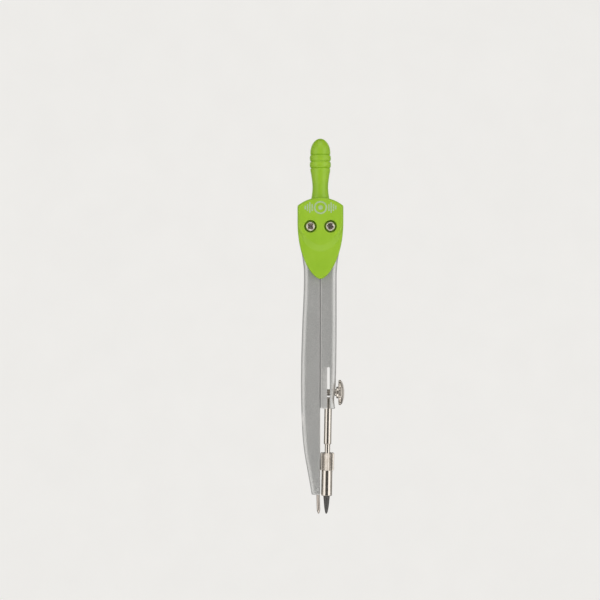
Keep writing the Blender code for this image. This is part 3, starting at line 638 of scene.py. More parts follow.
def needle_steel():
    """Drawn steel, with grinding marks towards the point."""
    look = Look("drawn_needle_steel", 0.24, 1.0)
    drawn = look.noise(0.05, (1.0, 1.0, 50.0))
    haze = look.noise(0.8, (1.0, 1.0, 3.0), 3.0)
    look.give("Base Color", look.blend(look.span(haze), (0.55, 0.49, 0.44), (0.72, 0.66, 0.60)))
    look.give("Roughness", look.span(drawn, 0.3, 0.7, 0.2, 0.36))
    look.bump(drawn, 2.0, 0.6)
    return look.done()


def graphite():
    """Sharpened graphite: dark, softly shiny, with scratches down the cone."""
    look = Look("sharpened_graphite", 0.42)
    grain = look.noise(0.06, detail=3.0)
    strokes = look.noise(0.07, (1.0, 1.0, 14.0))
    colour = look.blend(look.span(strokes, 0.35, 0.7), (0.030, 0.029, 0.028), (0.085, 0.082, 0.078))
    look.give("Base Color", look.blend(look.span(grain, 0.6, 0.8), colour, (0.15, 0.145, 0.14)))
    look.give("Roughness", look.span(strokes, 0.3, 0.7, 0.34, 0.55))
    look.give("Specular IOR Level", 0.8)
    look.bump(strokes, 8.0, 0.6)
    look.bump(grain, 4.0, 0.4)
    return look.done()


def pale_ink():
    """Thin pad-printed ink, a little uneven, with the plastic's colour coming through."""
    look = Look("pale_pad_print_ink", 0.5)
    patches = look.noise(0.45, detail=4.0)
    colour = look.blend(look.span(patches, 0.35, 0.65), (0.36, 0.53, 0.24), (0.46, 0.58, 0.38))
    look.give("Base Color", colour)
    look.give("Roughness", look.span(patches, 0.3, 0.7, 0.42, 0.6))
    look.bump(look.noise(0.12), 4.0, 0.4)
    return look.done()


LOOKS = {"lime_plastic": lime_plastic(), "satin_silver": satin_silver(),
         "nickel_plate": nickel("nickel_plate_fine"), "screw_steel": screw_steel(),
         "washer_steel": washer_steel(), "needle_steel": needle_steel(), "graphite": graphite()}


def finish(piece, look):
    """Turns the piece into metres and gives it its material and shading."""
    piece.data.transform(Matrix.Scale(MM, 4))
    piece.data.materials.clear()
    piece.data.materials.append(look)
    piece.data.shade_smooth()
    piece.data.set_sharp_from_angle(angle=SMOOTH_ANGLE)
    piece.modifiers.new("even_shading", "WEIGHTED_NORMAL").keep_sharp = True
    return piece


def stand_for(node, piece, look=None):
    """Finishes the piece, lets it ride with a CAD node's body and shows it in that node's place."""
    finish(piece, look or LOOKS[SLOT_OF[node]])
    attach(piece, BODY_OF[node])
    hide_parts(node)


# The head

def shield(inset):
    """The head's outline, moved inward by inset, from the top middle round to the top middle."""
    half_width = HEAD_HALF_WIDTH - inset
    radius = HEAD_TOP_RADIUS - inset
    corner = HEAD_CORNER_RADIUS - 0.5 * inset
    centre_z = HEAD_TOP_Z - HEAD_TOP_RADIUS
    # The corner's centre touches both the side and the top arc from inside.
    corner_x = half_width - corner
    corner_z = centre_z + sqrt((radius - corner) ** 2 - corner_x ** 2)
    corner_start = asin(corner_x / (radius - corner))
    half = [(radius * sin(turn), centre_z + radius * cos(turn))
            for turn in sweep(TOP_STEPS, end=corner_start)[1:-1]]
    half += [(corner_x + corner * sin(turn), corner_z + corner * cos(turn))
             for turn in sweep(CORNER_STEPS, corner_start)]
    tip_z = HEAD_TIP_Z + inset
    half.append((half_width, HEAD_TAPER_Z))
    knots = (half[-1], (half_width, HEAD_BELLY_Z), (HEAD_TIP_HALF_WIDTH, tip_z), (0.0, tip_z))
    half += bezier(knots, TONGUE_STEPS)[:-1]
    return mirrored(half, HEAD_TOP_Z - inset, tip_z)


def plateau(inset, turn_z, bottom_z, power):
    """The raised zone's outline: the head's top and sides, closed by half an oval."""
    half_width = HEAD_HALF_WIDTH - inset
    half = shield(inset)[1:TOP_STEPS + CORNER_STEPS + 1]
    half.append((half_width, turn_z + 0.3))
    half += [(half_width * cos(turn) ** (2 / power), turn_z - (turn_z - bottom_z) * sin(turn) ** (2 / power))
             for turn in sweep(TONGUE_STEPS - 1)[:-1]]
    return mirrored(half, HEAD_TOP_Z - inset, bottom_z)


def mirrored(half, top_z, bottom_z):
    """Closes a right-hand half outline with its mirror image and the points on the centre-line."""
    return [(0.0, top_z), *half, (0.0, bottom_z), *[(-x, z) for x, z in reversed(half)]]


def ease(share, foot=0.22, brow=0.16):
    """A slope from 0 to 1 that starts and ends level, with a short round at each end."""
    slope = 1.0 / (1.0 - (foot + brow) / 2)
    if share < foot:
        return slope * share * share / (2 * foot)
    if share > 1.0 - brow:
        rest = 1.0 - share
        return 1.0 - slope * rest * rest / (2 * brow)
    return slope * (share - foot / 2)


def between(first, second, share):
    return tuple(a + (b - a) * share for a, b in zip(first, second))


def by_height(lower, upper):
    """A ring that follows lower along the tongue and upper along the head's upper part."""
    return [between(a, b, smooth_step(SIDE_LOW_Z, SIDE_HIGH_Z, a[-1])) for a, b in zip(lower, upper)]


def ring_at(outline, depth):
    return [(x, depth, z) for x, z in outline]


def cover_rings(side):
    """The cover's rings from its parting edge over the tongue's rounded edge and up the ramp, which becomes
    one full round along the upper sides and the top."""
    rings = [ring_at(shield(PARTING_EDGE), PARTING_GAP), ring_at(shield(0.0), PARTING_GAP + PARTING_EDGE)]
    for rise, inward in quarter(7):
        depth = TONGUE_DEPTH - TONGUE_BEVEL_DEPTH * (1.0 - rise)
        rings.append(by_height(ring_at(shield(TONGUE_BEVEL * inward), depth),
                               ring_at(shield(RAMP_SIDE_INSET / 2 * inward), depth)))
    foot = by_height(plateau(RAMP_INSET, RAMP_TURN_Z, RAMP_BOTTOM_Z, RAMP_POWER),
                     plateau(RAMP_SIDE_INSET, RAMP_TURN_Z, RAMP_BOTTOM_Z, RAMP_POWER))
    brow = plateau(PLATEAU_INSET, PLATEAU_TURN_Z, PLATEAU_BOTTOM_Z, PLATEAU_POWER)
    rise_height = HEAD_HALF_DEPTH - TONGUE_DEPTH
    for turn in sweep(16):
        share = turn / (pi / 2)
        slope = [between(a, b, share) for a, b in zip(foot, brow)]
        curve = [between(a, b, 1.0 - cos(turn)) for a, b in zip(foot, brow)]
        rings.append(by_height(ring_at(slope, TONGUE_DEPTH + rise_height * ease(share)),
                               ring_at(curve, TONGUE_DEPTH + rise_height * sin(turn))))
    return [[(x, side * depth, z) for x, depth, z in ring] for ring in rings]


def counterbore(x):
    """A cutter for a screw head's counterbore, whose mouth is rounded over."""
    radius, face = COUNTERBORE_RADIUS, HEAD_HALF_DEPTH
    edge = [(radius + HOLE_EDGE * inward, HOLE_EDGE * (1.0 - rise) - face) for rise, inward in quarter(4)]
    profile = [(0.0, -COUNTERBORE_FLOOR), (radius, -COUNTERBORE_FLOOR), *edge,
               (radius + HOLE_EDGE, -face - 1.0), (0.0, -face - 1.0)]
    return turned("counterbore", profile, 64, along_y(x, PIVOT_Z))


def nut_pocket(x):
    """A cutter for a nut's pocket, with a small chamfer round its mouth."""
    wide = NUT_POCKET_FLATS + 2 * HOLE_EDGE
    levels = ((NUT_POCKET_FLATS, NUT_POCKET_FLOOR), (NUT_POCKET_FLATS, HEAD_HALF_DEPTH - HOLE_EDGE),
              (wide, HEAD_HALF_DEPTH), (wide, HEAD_HALF_DEPTH + 1.0))
    return loft("pocket", [[(px, depth, pz) for px, pz in hexagon(x, flats)] for flats, depth in levels])


def hexagon(x, flats):
    corner = flats / sqrt(3.0)
    return [(x + corner * cos(radians(60 * i)), PIVOT_Z + corner * sin(radians(60 * i))) for i in range(6)]


def stem_key(extra=0.0):
    """The key at the stem's foot, larger all round by extra."""
    return box("key", (-KEY_HALF_X - extra, -KEY_HALF_Y - extra, KEY_BOTTOM_Z - extra),
               (KEY_HALF_X + extra, KEY_HALF_Y + extra, KEY_TOP_Z + extra))


def handle_socket():
    """The space that the handle's stem, neck and key take up in both covers."""
    wide, narrow = STEM_RADIUS + STEM_CLEARANCE, STEM_NECK_RADIUS + STEM_CLEARANCE
    shoulder_z = STEM_SHOULDER_Z - STEM_CLEARANCE
    stem = turned("stem", ((0.0, 103.0), (wide, 103.0), (wide, shoulder_z), (narrow, shoulder_z),
                           (narrow, 97.0), (0.0, 97.0)))
    return join(stem, stem_key(STEM_CLEARANCE))


def cover(name, side):
    """Half of the head, hollow where the legs turn and the handle sits."""
    piece = loft(name, cover_rings(side))
    inner, outer = sorted((-side, side * CAVITY_DEPTH))
    cut(piece, box("cavity", (-9.0, inner, 70.0), (9.0, outer, CAVITY_TOP_Z)), handle_socket())
    recess = counterbore if side == FRONT else nut_pocket
    for x in (-PIVOT_X, PIVOT_X):
        hole = rod("screw_hole", SCREW_HOLE_RADIUS, (x, 0.0, PIVOT_Z), (x, side * 6.0, PIVOT_Z))
        cut(piece, hole, recess(x))
    return piece


def bead(centre, steps=16):
    """One raised ring of the grip, from its upper groove to its lower one."""
    points = []
    for i in range(steps):
        turn = pi * (i + 0.5) / steps
        swell = (BEAD_CREST - BEAD_GROOVE) * sin(turn) ** 0.6
        points.append((BEAD_GROOVE + swell, centre + BEAD_HALF_HEIGHT * cos(turn)))
    return points


def handle():
    """The grip in one turned piece: dome, two beads, waist, and the stem and key that the covers hold."""
    height = HANDLE_TOP_Z - DOME_BASE_Z
    dome = [(DOME_RADIUS * sin(turn), DOME_BASE_Z + height * cos(turn)) for turn in sweep(24)]
    under = ((DOME_RADIUS - 0.02, 115.0), (BEAD_GROOVE, 114.8), (BEAD_GROOVE, 114.7))
    rim = rounded((dome[-1], *under), 0.12)[1:]
    beads = [point for centre in BEAD_CENTRES for point in bead(centre)]
    waist = [(BEAD_GROOVE, 110.62), (3.08, 110.5), (3.165, 110.4)] + smooth_curve(GRIP_PROFILE, 6)
    stem = [(STEM_RADIUS, STEM_SHOULDER_Z), (STEM_NECK_RADIUS, STEM_SHOULDER_Z),
            (STEM_NECK_RADIUS, KEY_BOTTOM_Z + 0.3), (0.0, KEY_BOTTOM_Z + 0.3)]
    return join(turned("grip", dome + rim + beads + waist + stem, 96), stem_key())


def merged(name, pieces):
    """Puts separate shapes into one object."""
    bm = bmesh.new()
    for piece in pieces:
        bm.from_mesh(piece.data)
        bpy.data.objects.remove(piece)
    return from_bmesh(name, bm)


def front_mark():
    """A plain printed mark: a ring and a dot between two short scales."""
    face, under = -HEAD_HALF_DEPTH - MARK_THICKNESS, -HEAD_HALF_DEPTH + MARK_THICKNESS
    placing = along_y(0.0, MARK_Z)
    inner = MARK_RING_RADIUS - MARK_RING_WIDTH
    shapes = [turned("ring", rectangle(inner, face, MARK_RING_RADIUS, under), 72, placing),
              turned("dot", rectangle(0.0, face, MARK_DOT_RADIUS, under), 40, placing)]
    half = MARK_TICK_WIDTH / 2
    for side in (LEFT, RIGHT):
        for i, height in enumerate(MARK_TICK_HEIGHTS):
            x = side * (MARK_RING_RADIUS + 0.55 + MARK_TICK_PITCH * i)
            corners = rectangle(x - half, MARK_Z - height / 2, x + half, MARK_Z + height / 2)
            shapes.append(prism("tick", rounded(corners, 0.12, closed=True), face, under))
    return merged("front_mark", shapes)


# The pivot hardware

def cross_blade(x, turn, top):
    """A cutter for one arm pair of a cross recess, narrower towards its bottom."""
    levels = ((CROSS_REACH + 0.1, CROSS_HALF_WIDTH + 0.03, top + 0.4),
              (CROSS_REACH, CROSS_HALF_WIDTH, top),
              (CROSS_FOOT, CROSS_FOOT_HALF_WIDTH, top - CROSS_DEPTH))
    rings = []
    for length, half_width, depth in levels:
        outline = rounded(rectangle(-length, -half_width, length, half_width), 0.12, closed=True)
        rings.append([(px, -depth, pz) for px, pz in outline])
    blade = loft("blade", rings)
    blade.data.transform(Matrix.Translation((x, 0.0, PIVOT_Z)) @ Matrix.Rotation(radians(turn), 4, "Y"))
    return blade


def pivot_screw(name, side):
    """A pan-head screw with a cross recess; its head is in the front cover's counterbore."""
    top, seat = -SCREW_TOP, -SCREW_TOP + SCREW_HEAD_HEIGHT
    dome = smooth_curve(((0.0, top), (0.5, top + 0.03), (0.95, top + 0.13), (1.35, top + 0.31),
                         (1.6, top + 0.54), (SCREW_HEAD_RADIUS, top + 0.8)), 5)
    shank = rounded((dome[-1], (SCREW_HEAD_RADIUS, seat), (SCREW_SHANK_RADIUS, seat),
                     (SCREW_SHANK_RADIUS, SCREW_END - 0.25), (SCREW_SHANK_RADIUS - 0.25, SCREW_END),
                     (0.0, SCREW_END)), 0.05)[1:]
    x = side * PIVOT_X
    piece = turned(name, dome + shank, 64, along_y(x, PIVOT_Z))
    for extra in (0.0, 90.0):
        cut(piece, cross_blade(x, CROSS_TURN[side] + extra, SCREW_TOP))
    return piece


def pivot_nut(name, side):
    """A hexagon nut, chamfered outside and countersunk at its thread."""
    x = side * PIVOT_X
    corner = NUT_FLATS / sqrt(3.0)
    piece = prism(name, hexagon(x, NUT_FLATS), NUT_NEAR, NUT_FAR)
    envelope = ((0.0, NUT_NEAR - 1.0), (corner + 0.2, NUT_NEAR - 1.0), (corner + 0.2, NUT_FAR - 0.32),
                (NUT_FLATS / 2 - 0.08, NUT_FAR + 0.08), (0.0, NUT_FAR + 0.08))
    combine(piece, turned("envelope", envelope, 72, along_y(x, PIVOT_Z)), "INTERSECT")
    bore = SCREW_SHANK_RADIUS + 0.05
    beyond = NUT_FAR + 0.12
    thread = ((0.0, 0.0), (bore, 0.0), (bore, NUT_FAR - 0.18), (bore + 0.3, beyond), (0.0, beyond))
    return cut(piece, turned("thread", thread, 48, along_y(x, PIVOT_Z)))


# The legs

def involute(radius, base):
    """The angle that an involute has turned through where it reaches radius."""
    if radius <= base:
        return 0.0
    ratio = sqrt((radius / base) ** 2 - 1.0)
    return ratio - atan2(ratio, 1.0)


def tooth(centre, steps=8):
    """One tooth's (radius, angle) points about the pivot, from one root to the other."""
    module = 2 * PIVOT_X / GEAR_TEETH
    base = PIVOT_X * cos(PRESSURE_ANGLE)
    root = PIVOT_X - DEDENDUM * module
    tip = PIVOT_X + ADDENDUM * module
    half_pitch = pi / (2 * GEAR_TEETH) - BACKLASH / (2 * PIVOT_X)
    radii = [root, *sweep(steps, base, tip)]
    flank = [(radius, half_pitch + involute(PIVOT_X, base) - involute(radius, base)) for radius in radii]
    return [(radius, centre - half) for radius, half in flank] + \
           [(radius, centre + half) for radius, half in reversed(flank)]


def sector(side, first, last):
    """The leg's gear sector, as an outline about its pivot. Angles count upward from the centre-line."""
    pitch = 2 * pi / GEAR_TEETH
    phase = 0.0 if side == LEFT else 0.5
    polar = [point for i in range(first, last + 1) for point in tooth((i + phase) * pitch)]
    start = polar[-1][1] + 0.12
    polar += [(SECTOR_BACK_RADIUS, turn) for turn in sweep(32, start, radians(200.0))]
    outline = [(PIVOT_X - radius * cos(turn), PIVOT_Z + radius * sin(turn)) for radius, turn in polar]
    inside = LEG_GAP_HALF + 0.5
    outline += [(6.1, LEG_TOP_Z - 1.6), (inside, LEG_TOP_Z - 1.6), (inside, LEG_TOP_Z + 0.2)]
    return [(side * x, z) for x, z in outline]


def leg_section(side, z, outer, half_depth, inset=0.0):
    """The leg's cross-section at one height: chamfered along its inner edge, crowned towards its outer one,
    with a lip at the back that nearly meets the other leg's."""
    inner = LEG_GAP_HALF + inset
    outer -= inset
    half_depth -= inset
    chamfer = LEG_INNER_CHAMFER
    wide = min(LEG_CROWN_WIDTH, LEG_CROWN_SHARE * (outer - inner))
    drop = LEG_CROWN_DROP * half_depth / LEG_HALF_DEPTH
    lip = LEG_LIP_X + inset
    points = rounded(((inner + 1.0, half_depth), (lip + chamfer, half_depth), (lip, half_depth - chamfer),
                      (lip, LEG_LIP_Y), (inner, LEG_LIP_Y - 0.1), (inner, chamfer - half_depth),
                      (inner + chamfer, -half_depth), (inner + 1.0, -half_depth)), 0.06, steps=3)[1:-1]
    turns = sweep(14)
    points += [(outer - wide + wide * sin(a), -half_depth + drop * (1.0 - cos(a))) for a in turns]
    points += [(outer - wide + wide * cos(a), half_depth - drop * (1.0 - sin(a))) for a in turns]
    return [(side * x, y, z) for x, y in points]


def leg_blade(name, side, edge, end_z, end_half_depth):
    """The leg below its gear sector, lofted down to its rounded end."""
    def half_depth(z):
        share = smooth_step(LEG_TAPER_TOP_Z, end_z, z)
        return LEG_HALF_DEPTH + (end_half_depth - LEG_HALF_DEPTH) * share

    stations = [(z, outer) for z, outer in smooth_curve(edge, 6) if z > end_z + LEG_END_ROUND + 0.05]
    rings = [leg_section(side, z, outer, half_depth(z)) for z, outer in stations]
    last_z, last_outer = stations[-1]
    end_outer = edge[-1][1]
    for rise, inward in quarter(4):
        z = end_z + LEG_END_ROUND * (1.0 - rise)
        outer = last_outer + (end_outer - last_outer) * (last_z - z) / (last_z - end_z)
        rings.append(leg_section(side, z, outer, half_depth(z), LEG_END_ROUND * inward))
    return loft(name, rings)


def needle_line(z):
    """The needle's axis at one height."""
    return Vector((NEEDLE_TIP_X + (NEEDLE_TOP_X - NEEDLE_TIP_X) * z / NEEDLE_TOP, 0.0, z))


def pivot_bore(side):
    """A cutter for the hole that a leg turns on."""
    x = side * PIVOT_X
    return rod("pivot_bore", PIVOT_BORE_RADIUS, (x, -3.0, PIVOT_Z), (x, 3.0, PIVOT_Z))


def needle_leg():
    """The needle's leg: gear sector, blade, the needle's bore and the punch mark that crimps it."""
    piece = leg_blade("needle_leg_blade", LEFT, NEEDLE_LEG_EDGE, NEEDLE_LEG_END_Z, LEG_TIP_HALF_DEPTH)
    join(piece, prism("sector", sector(LEFT, -1, 3), -SECTOR_HALF_DEPTH, SECTOR_HALF_DEPTH))
    cut(piece, pivot_bore(LEFT))
    cut(piece, rod("needle_bore", NEEDLE_BORE_RADIUS, needle_line(-2.0), needle_line(NEEDLE_TOP + 0.1)))
    face = -LEG_TIP_HALF_DEPTH
    bottom = face + CRIMP_DEPTH
    punch = ((0.0, bottom), (0.3, bottom - 0.03), (0.45, bottom - 0.14), (CRIMP_RADIUS, face - 0.02),
             (CRIMP_RADIUS, -3.0), (0.0, -3.0))
    return cut(piece, turned("crimp", punch, 40, along_y(needle_line(CRIMP_Z).x, CRIMP_Z)))


def needle():
    """The steel point: a short cone with its very tip rounded."""
    start, end = needle_line(0.0), needle_line(NEEDLE_TOP)
    length = (end - start).length
    corners = ((0.0, 0.0), (0.16, 0.06), (NEEDLE_RADIUS, NEEDLE_CONE), (NEEDLE_RADIUS, length - 0.1),
               (NEEDLE_RADIUS - 0.1, length), (0.0, length))
    return turned("needle_point", rounded(corners, 0.4, steps=6), 48, standing(start, end - start))


def clamp_slot():
    """The slot between the clamp's jaws, round at its top."""
    radius = (SLOT_RIGHT_X - SLOT_LEFT_X) / 2
    arch = [(SLOT_MIDDLE_X + radius * cos(turn), SLOT_TOP_Z - radius + radius * sin(turn))
            for turn in sweep(20, end=pi)]
    return prism("slot", [(SLOT_LEFT_X, 30.0), (SLOT_RIGHT_X, 30.0), *arch], -4.0, 4.0)


def lead_leg():
    """The lead's leg: gear sector, blade, and the clamp with its slot, rod bore and screw holes."""
    piece = leg_blade("lead_leg_blade", RIGHT, LEAD_LEG_EDGE, LEAD_LEG_END_Z, LEG_HALF_DEPTH)
    join(piece, prism("sector", sector(RIGHT, -1, 2), -SECTOR_HALF_DEPTH, SECTOR_HALF_DEPTH))
    cut(piece, pivot_bore(RIGHT), clamp_slot())
    cut(piece, rod("rod_bore", ROD_BORE_RADIUS, holder_line(30.0), holder_line(ROD_TOP + 0.1)))
    start, middle, end = [Vector((x, 0.0, THUMB_AXIS.z)) for x in (THUMB_END_X - 0.1, SLOT_MIDDLE_X, 8.0)]
    tapped = rod("tapped", THUMB_SHANK_RADIUS + 0.05, start, middle)
    clearance = rod("clearance", THUMB_SHANK_RADIUS + 0.12, middle, end)
    return cut(piece, tapped, clearance)


# The clamp's screw and the lead holder

FLAT_TOOTH = ((0.0, 0.0), (0.12, 0.25), (0.2, 1.0), (0.32, 1.0), (0.4, 0.25), (0.52, 0.0), (0.76, 0.0))
SHARP_TOOTH = ((0.0, 0.0), (0.14, 0.22), (0.42, 0.92), (0.5, 1.0), (0.58, 0.92), (0.86, 0.22))


def toothed_body(name, teeth, shape, levels):
    """A body with evenly spaced teeth, through levels of (radius, tooth depth, height). One tooth's shape is
    (share of the pitch, share of the depth) points."""
    turns = [(2 * pi * (i + share) / teeth, sink) for i in range(teeth) for share, sink in shape]
    rings = []
    for radius, depth, height in levels:
        arms = [(radius - depth * sink, turn) for turn, sink in turns]
        rings.append([(arm * cos(turn), arm * sin(turn), height) for arm, turn in arms])
    return loft(name, rings)


def threaded(name, start, end, radius, sides=40, slices=9):
    """A screw thread between two heights, which fades out at both ends."""
    count = round((end - start) / THREAD_PITCH * slices)
    rings = []
    for i in range(count + 1):
        height = start + (end - start) * i / count
        fade = min(1.0, (height - start) / THREAD_PITCH, (end - height) / THREAD_PITCH)
        ring = []
        for j in range(sides):
            turn = (height / THREAD_PITCH - j / sides) % 1.0
            groove = min(1.0, 2.3 * abs(turn - 0.5))
            arm = radius - THREAD_DEPTH * (1.0 - groove) * fade - 0.002
            ring.append((arm * cos(2 * pi * j / sides), arm * sin(2 * pi * j / sides), height))
        rings.append(ring)
    return loft(name, rings)


def thumb_screw():
    """The clamp's screw: threaded shank, plain hub, and a disc with serrations for the thumb."""
    radius, depth, rim = THUMB_RADIUS, THUMB_TOOTH_DEPTH, THUMB_RIM_HEIGHT
    rings = ((radius - 1.5, 0.0, 0.0), (radius - 0.22, 0.0, 0.04), (radius, depth, 0.2),
             (radius, depth, rim - 0.05), (radius - 0.12, 0.45 * depth, rim + 0.05),
             (radius - 0.3, 0.0, rim + 0.12), (radius - 1.5, 0.0, rim + 0.12))
    piece = toothed_body("thumb_screw_disc", THUMB_TEETH, FLAT_TOOTH, rings)
    crown = smooth_curve([(arm, share * THUMB_THICKNESS) for arm, share in THUMB_CROWN], 6)
    join(piece, turned("crown", [(0.0, 0.5 * rim), (crown[0][0], 0.5 * rim), *crown], 96))
    shank_end = THUMB_END_X - THUMB_AXIS.x
    hub = THUMB_HUB_X - THUMB_AXIS.x
    shank = THUMB_SHANK_RADIUS
    profile = rounded(((0.0, hub - 0.3), (shank, hub - 0.3), (shank, hub), (THUMB_HUB_RADIUS - 0.12, hub),
                       (THUMB_HUB_RADIUS, hub + 0.12), (THUMB_HUB_RADIUS, 0.4), (0.0, 0.4)), 0.06)
    join(piece, turned("hub", profile))
    tip = rounded(((0.0, shank_end), (shank - 0.35, shank_end), (shank - 0.02, shank_end + 0.33),
                   (shank - 0.02, shank_end + 0.6), (0.0, shank_end + 0.6)), 0.05)
    join(piece, turned("tip", tip, 40), threaded("thread", shank_end + 0.4, hub - 0.1, shank))
    piece.data.transform(Matrix.Translation(THUMB_AXIS) @ Matrix.Rotation(radians(90.0), 4, "Y"))
    return piece


def on_holder(piece):
    """Stands a turned piece on the lead's point, along the lead holder's axis."""
    piece.data.transform(standing(HOLDER_POINT, HOLDER_UP))
    return piece


def holder_line(height):
    """A place on the lead holder's axis."""
    return HOLDER_POINT + HOLDER_UP * height


def lead_holder_body():
    """Rod, neck and split collet in one piece, bored from below for the lead."""
    wide, collet, bore = ROD_RADIUS, COLLET_RADIUS, COLLET_BORE_RADIUS
    top, end = COLLET_TOP, COLLET_BOTTOM
    profile = rounded(((0.0, ROD_TOP), (wide - 0.25, ROD_TOP), (wide, ROD_TOP - 0.25),
                       (wide, ROD_BOTTOM + 0.15), (wide - 0.15, ROD_BOTTOM), (NECK_RADIUS, ROD_BOTTOM),
                       (NECK_RADIUS, top), (collet - 0.2, top), (collet, top - 0.2), (collet, end + 0.8),
                       (bore + 0.1, end), (bore, end), (bore, COLLET_BORE_TOP),
                       (0.0, COLLET_BORE_TOP + 0.4)), 0.05)
    piece = turned("lead_holder_rod", profile)
    half, low = COLLET_SLIT_HALF, COLLET_BOTTOM - 1.0
    across_x = box("slit_x", (-3.0, -half, low), (3.0, half, COLLET_SLIT_TOP))
    across_y = box("slit_y", (-half, -3.0, low), (half, 3.0, COLLET_SLIT_TOP))
    return on_holder(cut(piece, across_x, across_y))


def lead_holder_sleeve():
    """Knurled collar and smooth sleeve in one piece, bored to close on the collet."""
    radius, depth, top, bottom = COLLAR_RADIUS, KNURL_DEPTH, COLLAR_TOP, COLLAR_BOTTOM
    rings = ((radius - 0.22, 0.0, top), (radius - 0.08, 0.25 * depth, top - 0.05),
             (radius, depth, top - 0.2), (radius, depth, bottom + 0.2),
             (radius - 0.08, 0.25 * depth, bottom + 0.05), (radius - 0.22, 0.0, bottom))
    collar = toothed_body("knurled_sleeve", KNURL_TEETH, SHARP_TOOTH, rings)
    end, mouth, wide = SLEEVE_BOTTOM, SLEEVE_MOUTH_RADIUS, SLEEVE_BORE_RADIUS
    barrel = rounded(((0.0, bottom + 1.0), (SLEEVE_RADIUS, bottom + 1.0), (SLEEVE_RADIUS, end + 0.12),
                      (SLEEVE_RADIUS - 0.12, end), (0.0, end)), 0.08)
    bore = ((0.0, top + 1.0), (wide + 0.1, top + 1.0), (wide + 0.1, top), (wide, top - 0.1),
            (wide, COLLET_BOTTOM + 0.5), (mouth, COLLET_BOTTOM - 0.2), (mouth, end + 0.1),
            (mouth + 0.12, end - 0.02), (mouth + 0.12, end - 1.0), (0.0, end - 1.0))
    join(collar, turned("barrel", barrel, 72))
    return on_holder(cut(collar, turned("bore", bore)))


def lead():
    """The graphite, sharpened to a slightly blunt and uneven point."""
    shares = [step ** 2 for step in sweep(20, end=1.0)[1:]]
    taper = [(LEAD_RADIUS * share ** LEAD_BULGE, LEAD_TAPER * share) for share in shares]
    profile = [(0.0, 0.0), *taper, (LEAD_RADIUS, LEAD_TOP - 0.1), (LEAD_RADIUS - 0.1, LEAD_TOP),
               (0.0, LEAD_TOP)]
    piece = turned("graphite_lead", profile, 48)
    for point in piece.data.vertices:
        share = max(0.0, 1.0 - point.co.z / LEAD_TAPER)
        turn = atan2(point.co.y, point.co.x)
        uneven = 1.0 + 0.05 * share * sin(3 * turn + 1.0) + 0.02 * share * sin(7 * turn)
        point.co.x *= uneven
        point.co.y *= uneven
    return on_holder(piece)


# The stage

def studio_bowl():
    """A pale floor that curves up into a wall all round."""
    cove = [(STAGE_RADIUS - STAGE_COVE + STAGE_COVE * along, FLOOR_Z + STAGE_COVE * rise)
            for along, rise in quarter(16)]
    profile = ((0.0, FLOOR_Z), (0.3, FLOOR_Z), (0.6, FLOOR_Z), *cove,
               (STAGE_RADIUS, FLOOR_Z + STAGE_HEIGHT))
    bowl = turned("studio_floor", profile, 96)
    look = Look("pale_studio_paper", 0.9)
    mottle = look.noise(40.0, detail=3.0)
    look.give("Base Color", look.blend(mottle, (0.17, 0.168, 0.163), (0.19, 0.188, 0.183)))
    look.give("Emission Color", look.blend(mottle, (0.60, 0.592, 0.575), (0.62, 0.612, 0.595)))
    look.give("Emission Strength", 1.3)
    bowl.data.materials.append(look.done())
    bowl.data.shade_smooth()
    bowl.visible_glossy = bowl.visible_diffuse = bowl.visible_shadow = False


def softbox(name, azimuth, elevation, distance, size, radiance, reflected=True):
    """A soft light that faces the compass. Azimuth 0 is on the camera's side and 90 at +X."""
    lamp = bpy.data.lights.new(name, "AREA")
    lamp.shape = "RECTANGLE"
    lamp.size, lamp.size_y = size
    lamp.energy = radiance * pi * size[0] * size[1]
    lamp.color = (1.0, 0.985, 0.965)
    light = placed(name, lamp)
    middle = Vector((0.0, 0.0, (CAD_BOX[0].z + CAD_BOX[1].z) / 2))
    around, up = radians(azimuth), radians(elevation)
    away = Vector((sin(around) * cos(up), -cos(around) * cos(up), sin(up)))
    light.location = middle + away * distance
    light.rotation_euler = away.to_track_quat("Z", "Y").to_euler()
    light.visible_camera = False
    light.visible_glossy = reflected


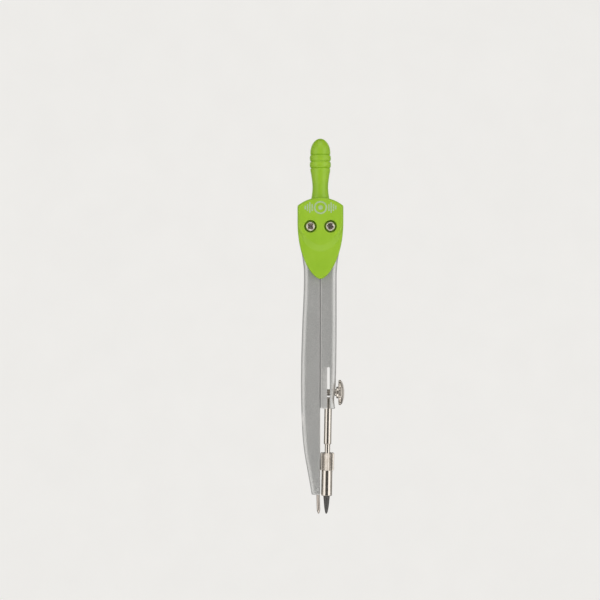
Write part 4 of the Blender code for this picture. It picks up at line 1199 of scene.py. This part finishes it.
def studio_lights():
    """Tall softboxes either side of the camera, weaker ones beside and behind, two more above and below, and
    two fills that don't show as reflections."""
    for side, word in SIDES:
        strength = FRONT_STRENGTHS[side]
        softbox(f"{word}_front_softbox", side * 53.0, 3.0, 0.75, (0.62, 1.1), strength)
        softbox(f"{word}_side_softbox", side * 98.0, 3.0, 0.75, (0.5, 1.1), 0.3 * strength)
        softbox(f"{word}_back_softbox", side * 155.0, 8.0, 0.95, (0.5, 1.0), 0.75)
    softbox("front_fill", 8.0, 8.0, 0.9, (0.9, 0.9), 0.76, reflected=False)
    softbox("back_fill", 180.0, 8.0, 0.9, (0.9, 0.9), 1.9, reflected=False)
    softbox("top_softbox", 0.0, 66.0, 0.9, (0.8, 0.7), 1.3)
    softbox("low_softbox", 0.0, -58.0, 0.8, (0.8, 0.7), 1.5)


def world_light():
    world = bpy.data.worlds.new("studio_world")
    bpy.context.scene.world = world
    world.use_nodes = True
    background = world.node_tree.nodes["Background"]
    background.inputs["Color"].default_value = (1.0, 0.97, 0.93, 1.0)
    background.inputs["Strength"].default_value = 0.09


def camera():
    data = bpy.data.cameras.new("camera")
    data.sensor_width = CAMERA_SENSOR
    data.lens = CAMERA_LENS
    data.clip_start, data.clip_end = 0.01, 20.0
    made = placed("camera", data)
    made.location = CAMERA_PLACE
    made.rotation_euler = (radians(90.0), 0.0, 0.0)
    bpy.context.scene.camera = made


# The whole compass

def build_head():
    stand_for("handle", handle())
    stand_for("front_cover", cover("front_shell", FRONT))
    stand_for("back_cover", cover("back_shell", BACK))
    mark = finish(front_mark(), pale_ink())
    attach(mark, BODY_OF["front_cover"])
    for side, word in SIDES:
        stand_for(f"pivot_screw_{word}", pivot_screw(f"{word}_pivot_screw", side))
        stand_for(f"pivot_nut_{word}", pivot_nut(f"{word}_pivot_nut", side))
        for washer in (f"thrust_washer_{word}", f"spring_washer_{word}"):
            frame["nodes"][washer].data.materials[0] = LOOKS[SLOT_OF[washer]]


def build_arms():
    stand_for("needle_leg", needle_leg())
    stand_for("needle", needle())
    stand_for("lead_leg", lead_leg())
    stand_for("thumb_screw", thumb_screw(), nickel("thumb_screw_nickel", (0.26, 0.34), lines_along_x=True))
    stand_for("lead_holder_body", lead_holder_body())
    stand_for("lead_holder_sleeve", lead_holder_sleeve())
    stand_for("lead", lead())


camera()
studio_bowl()
studio_lights()
world_light()
build_head()
build_arms()
bpy.context.scene.view_settings.view_transform = "Standard"
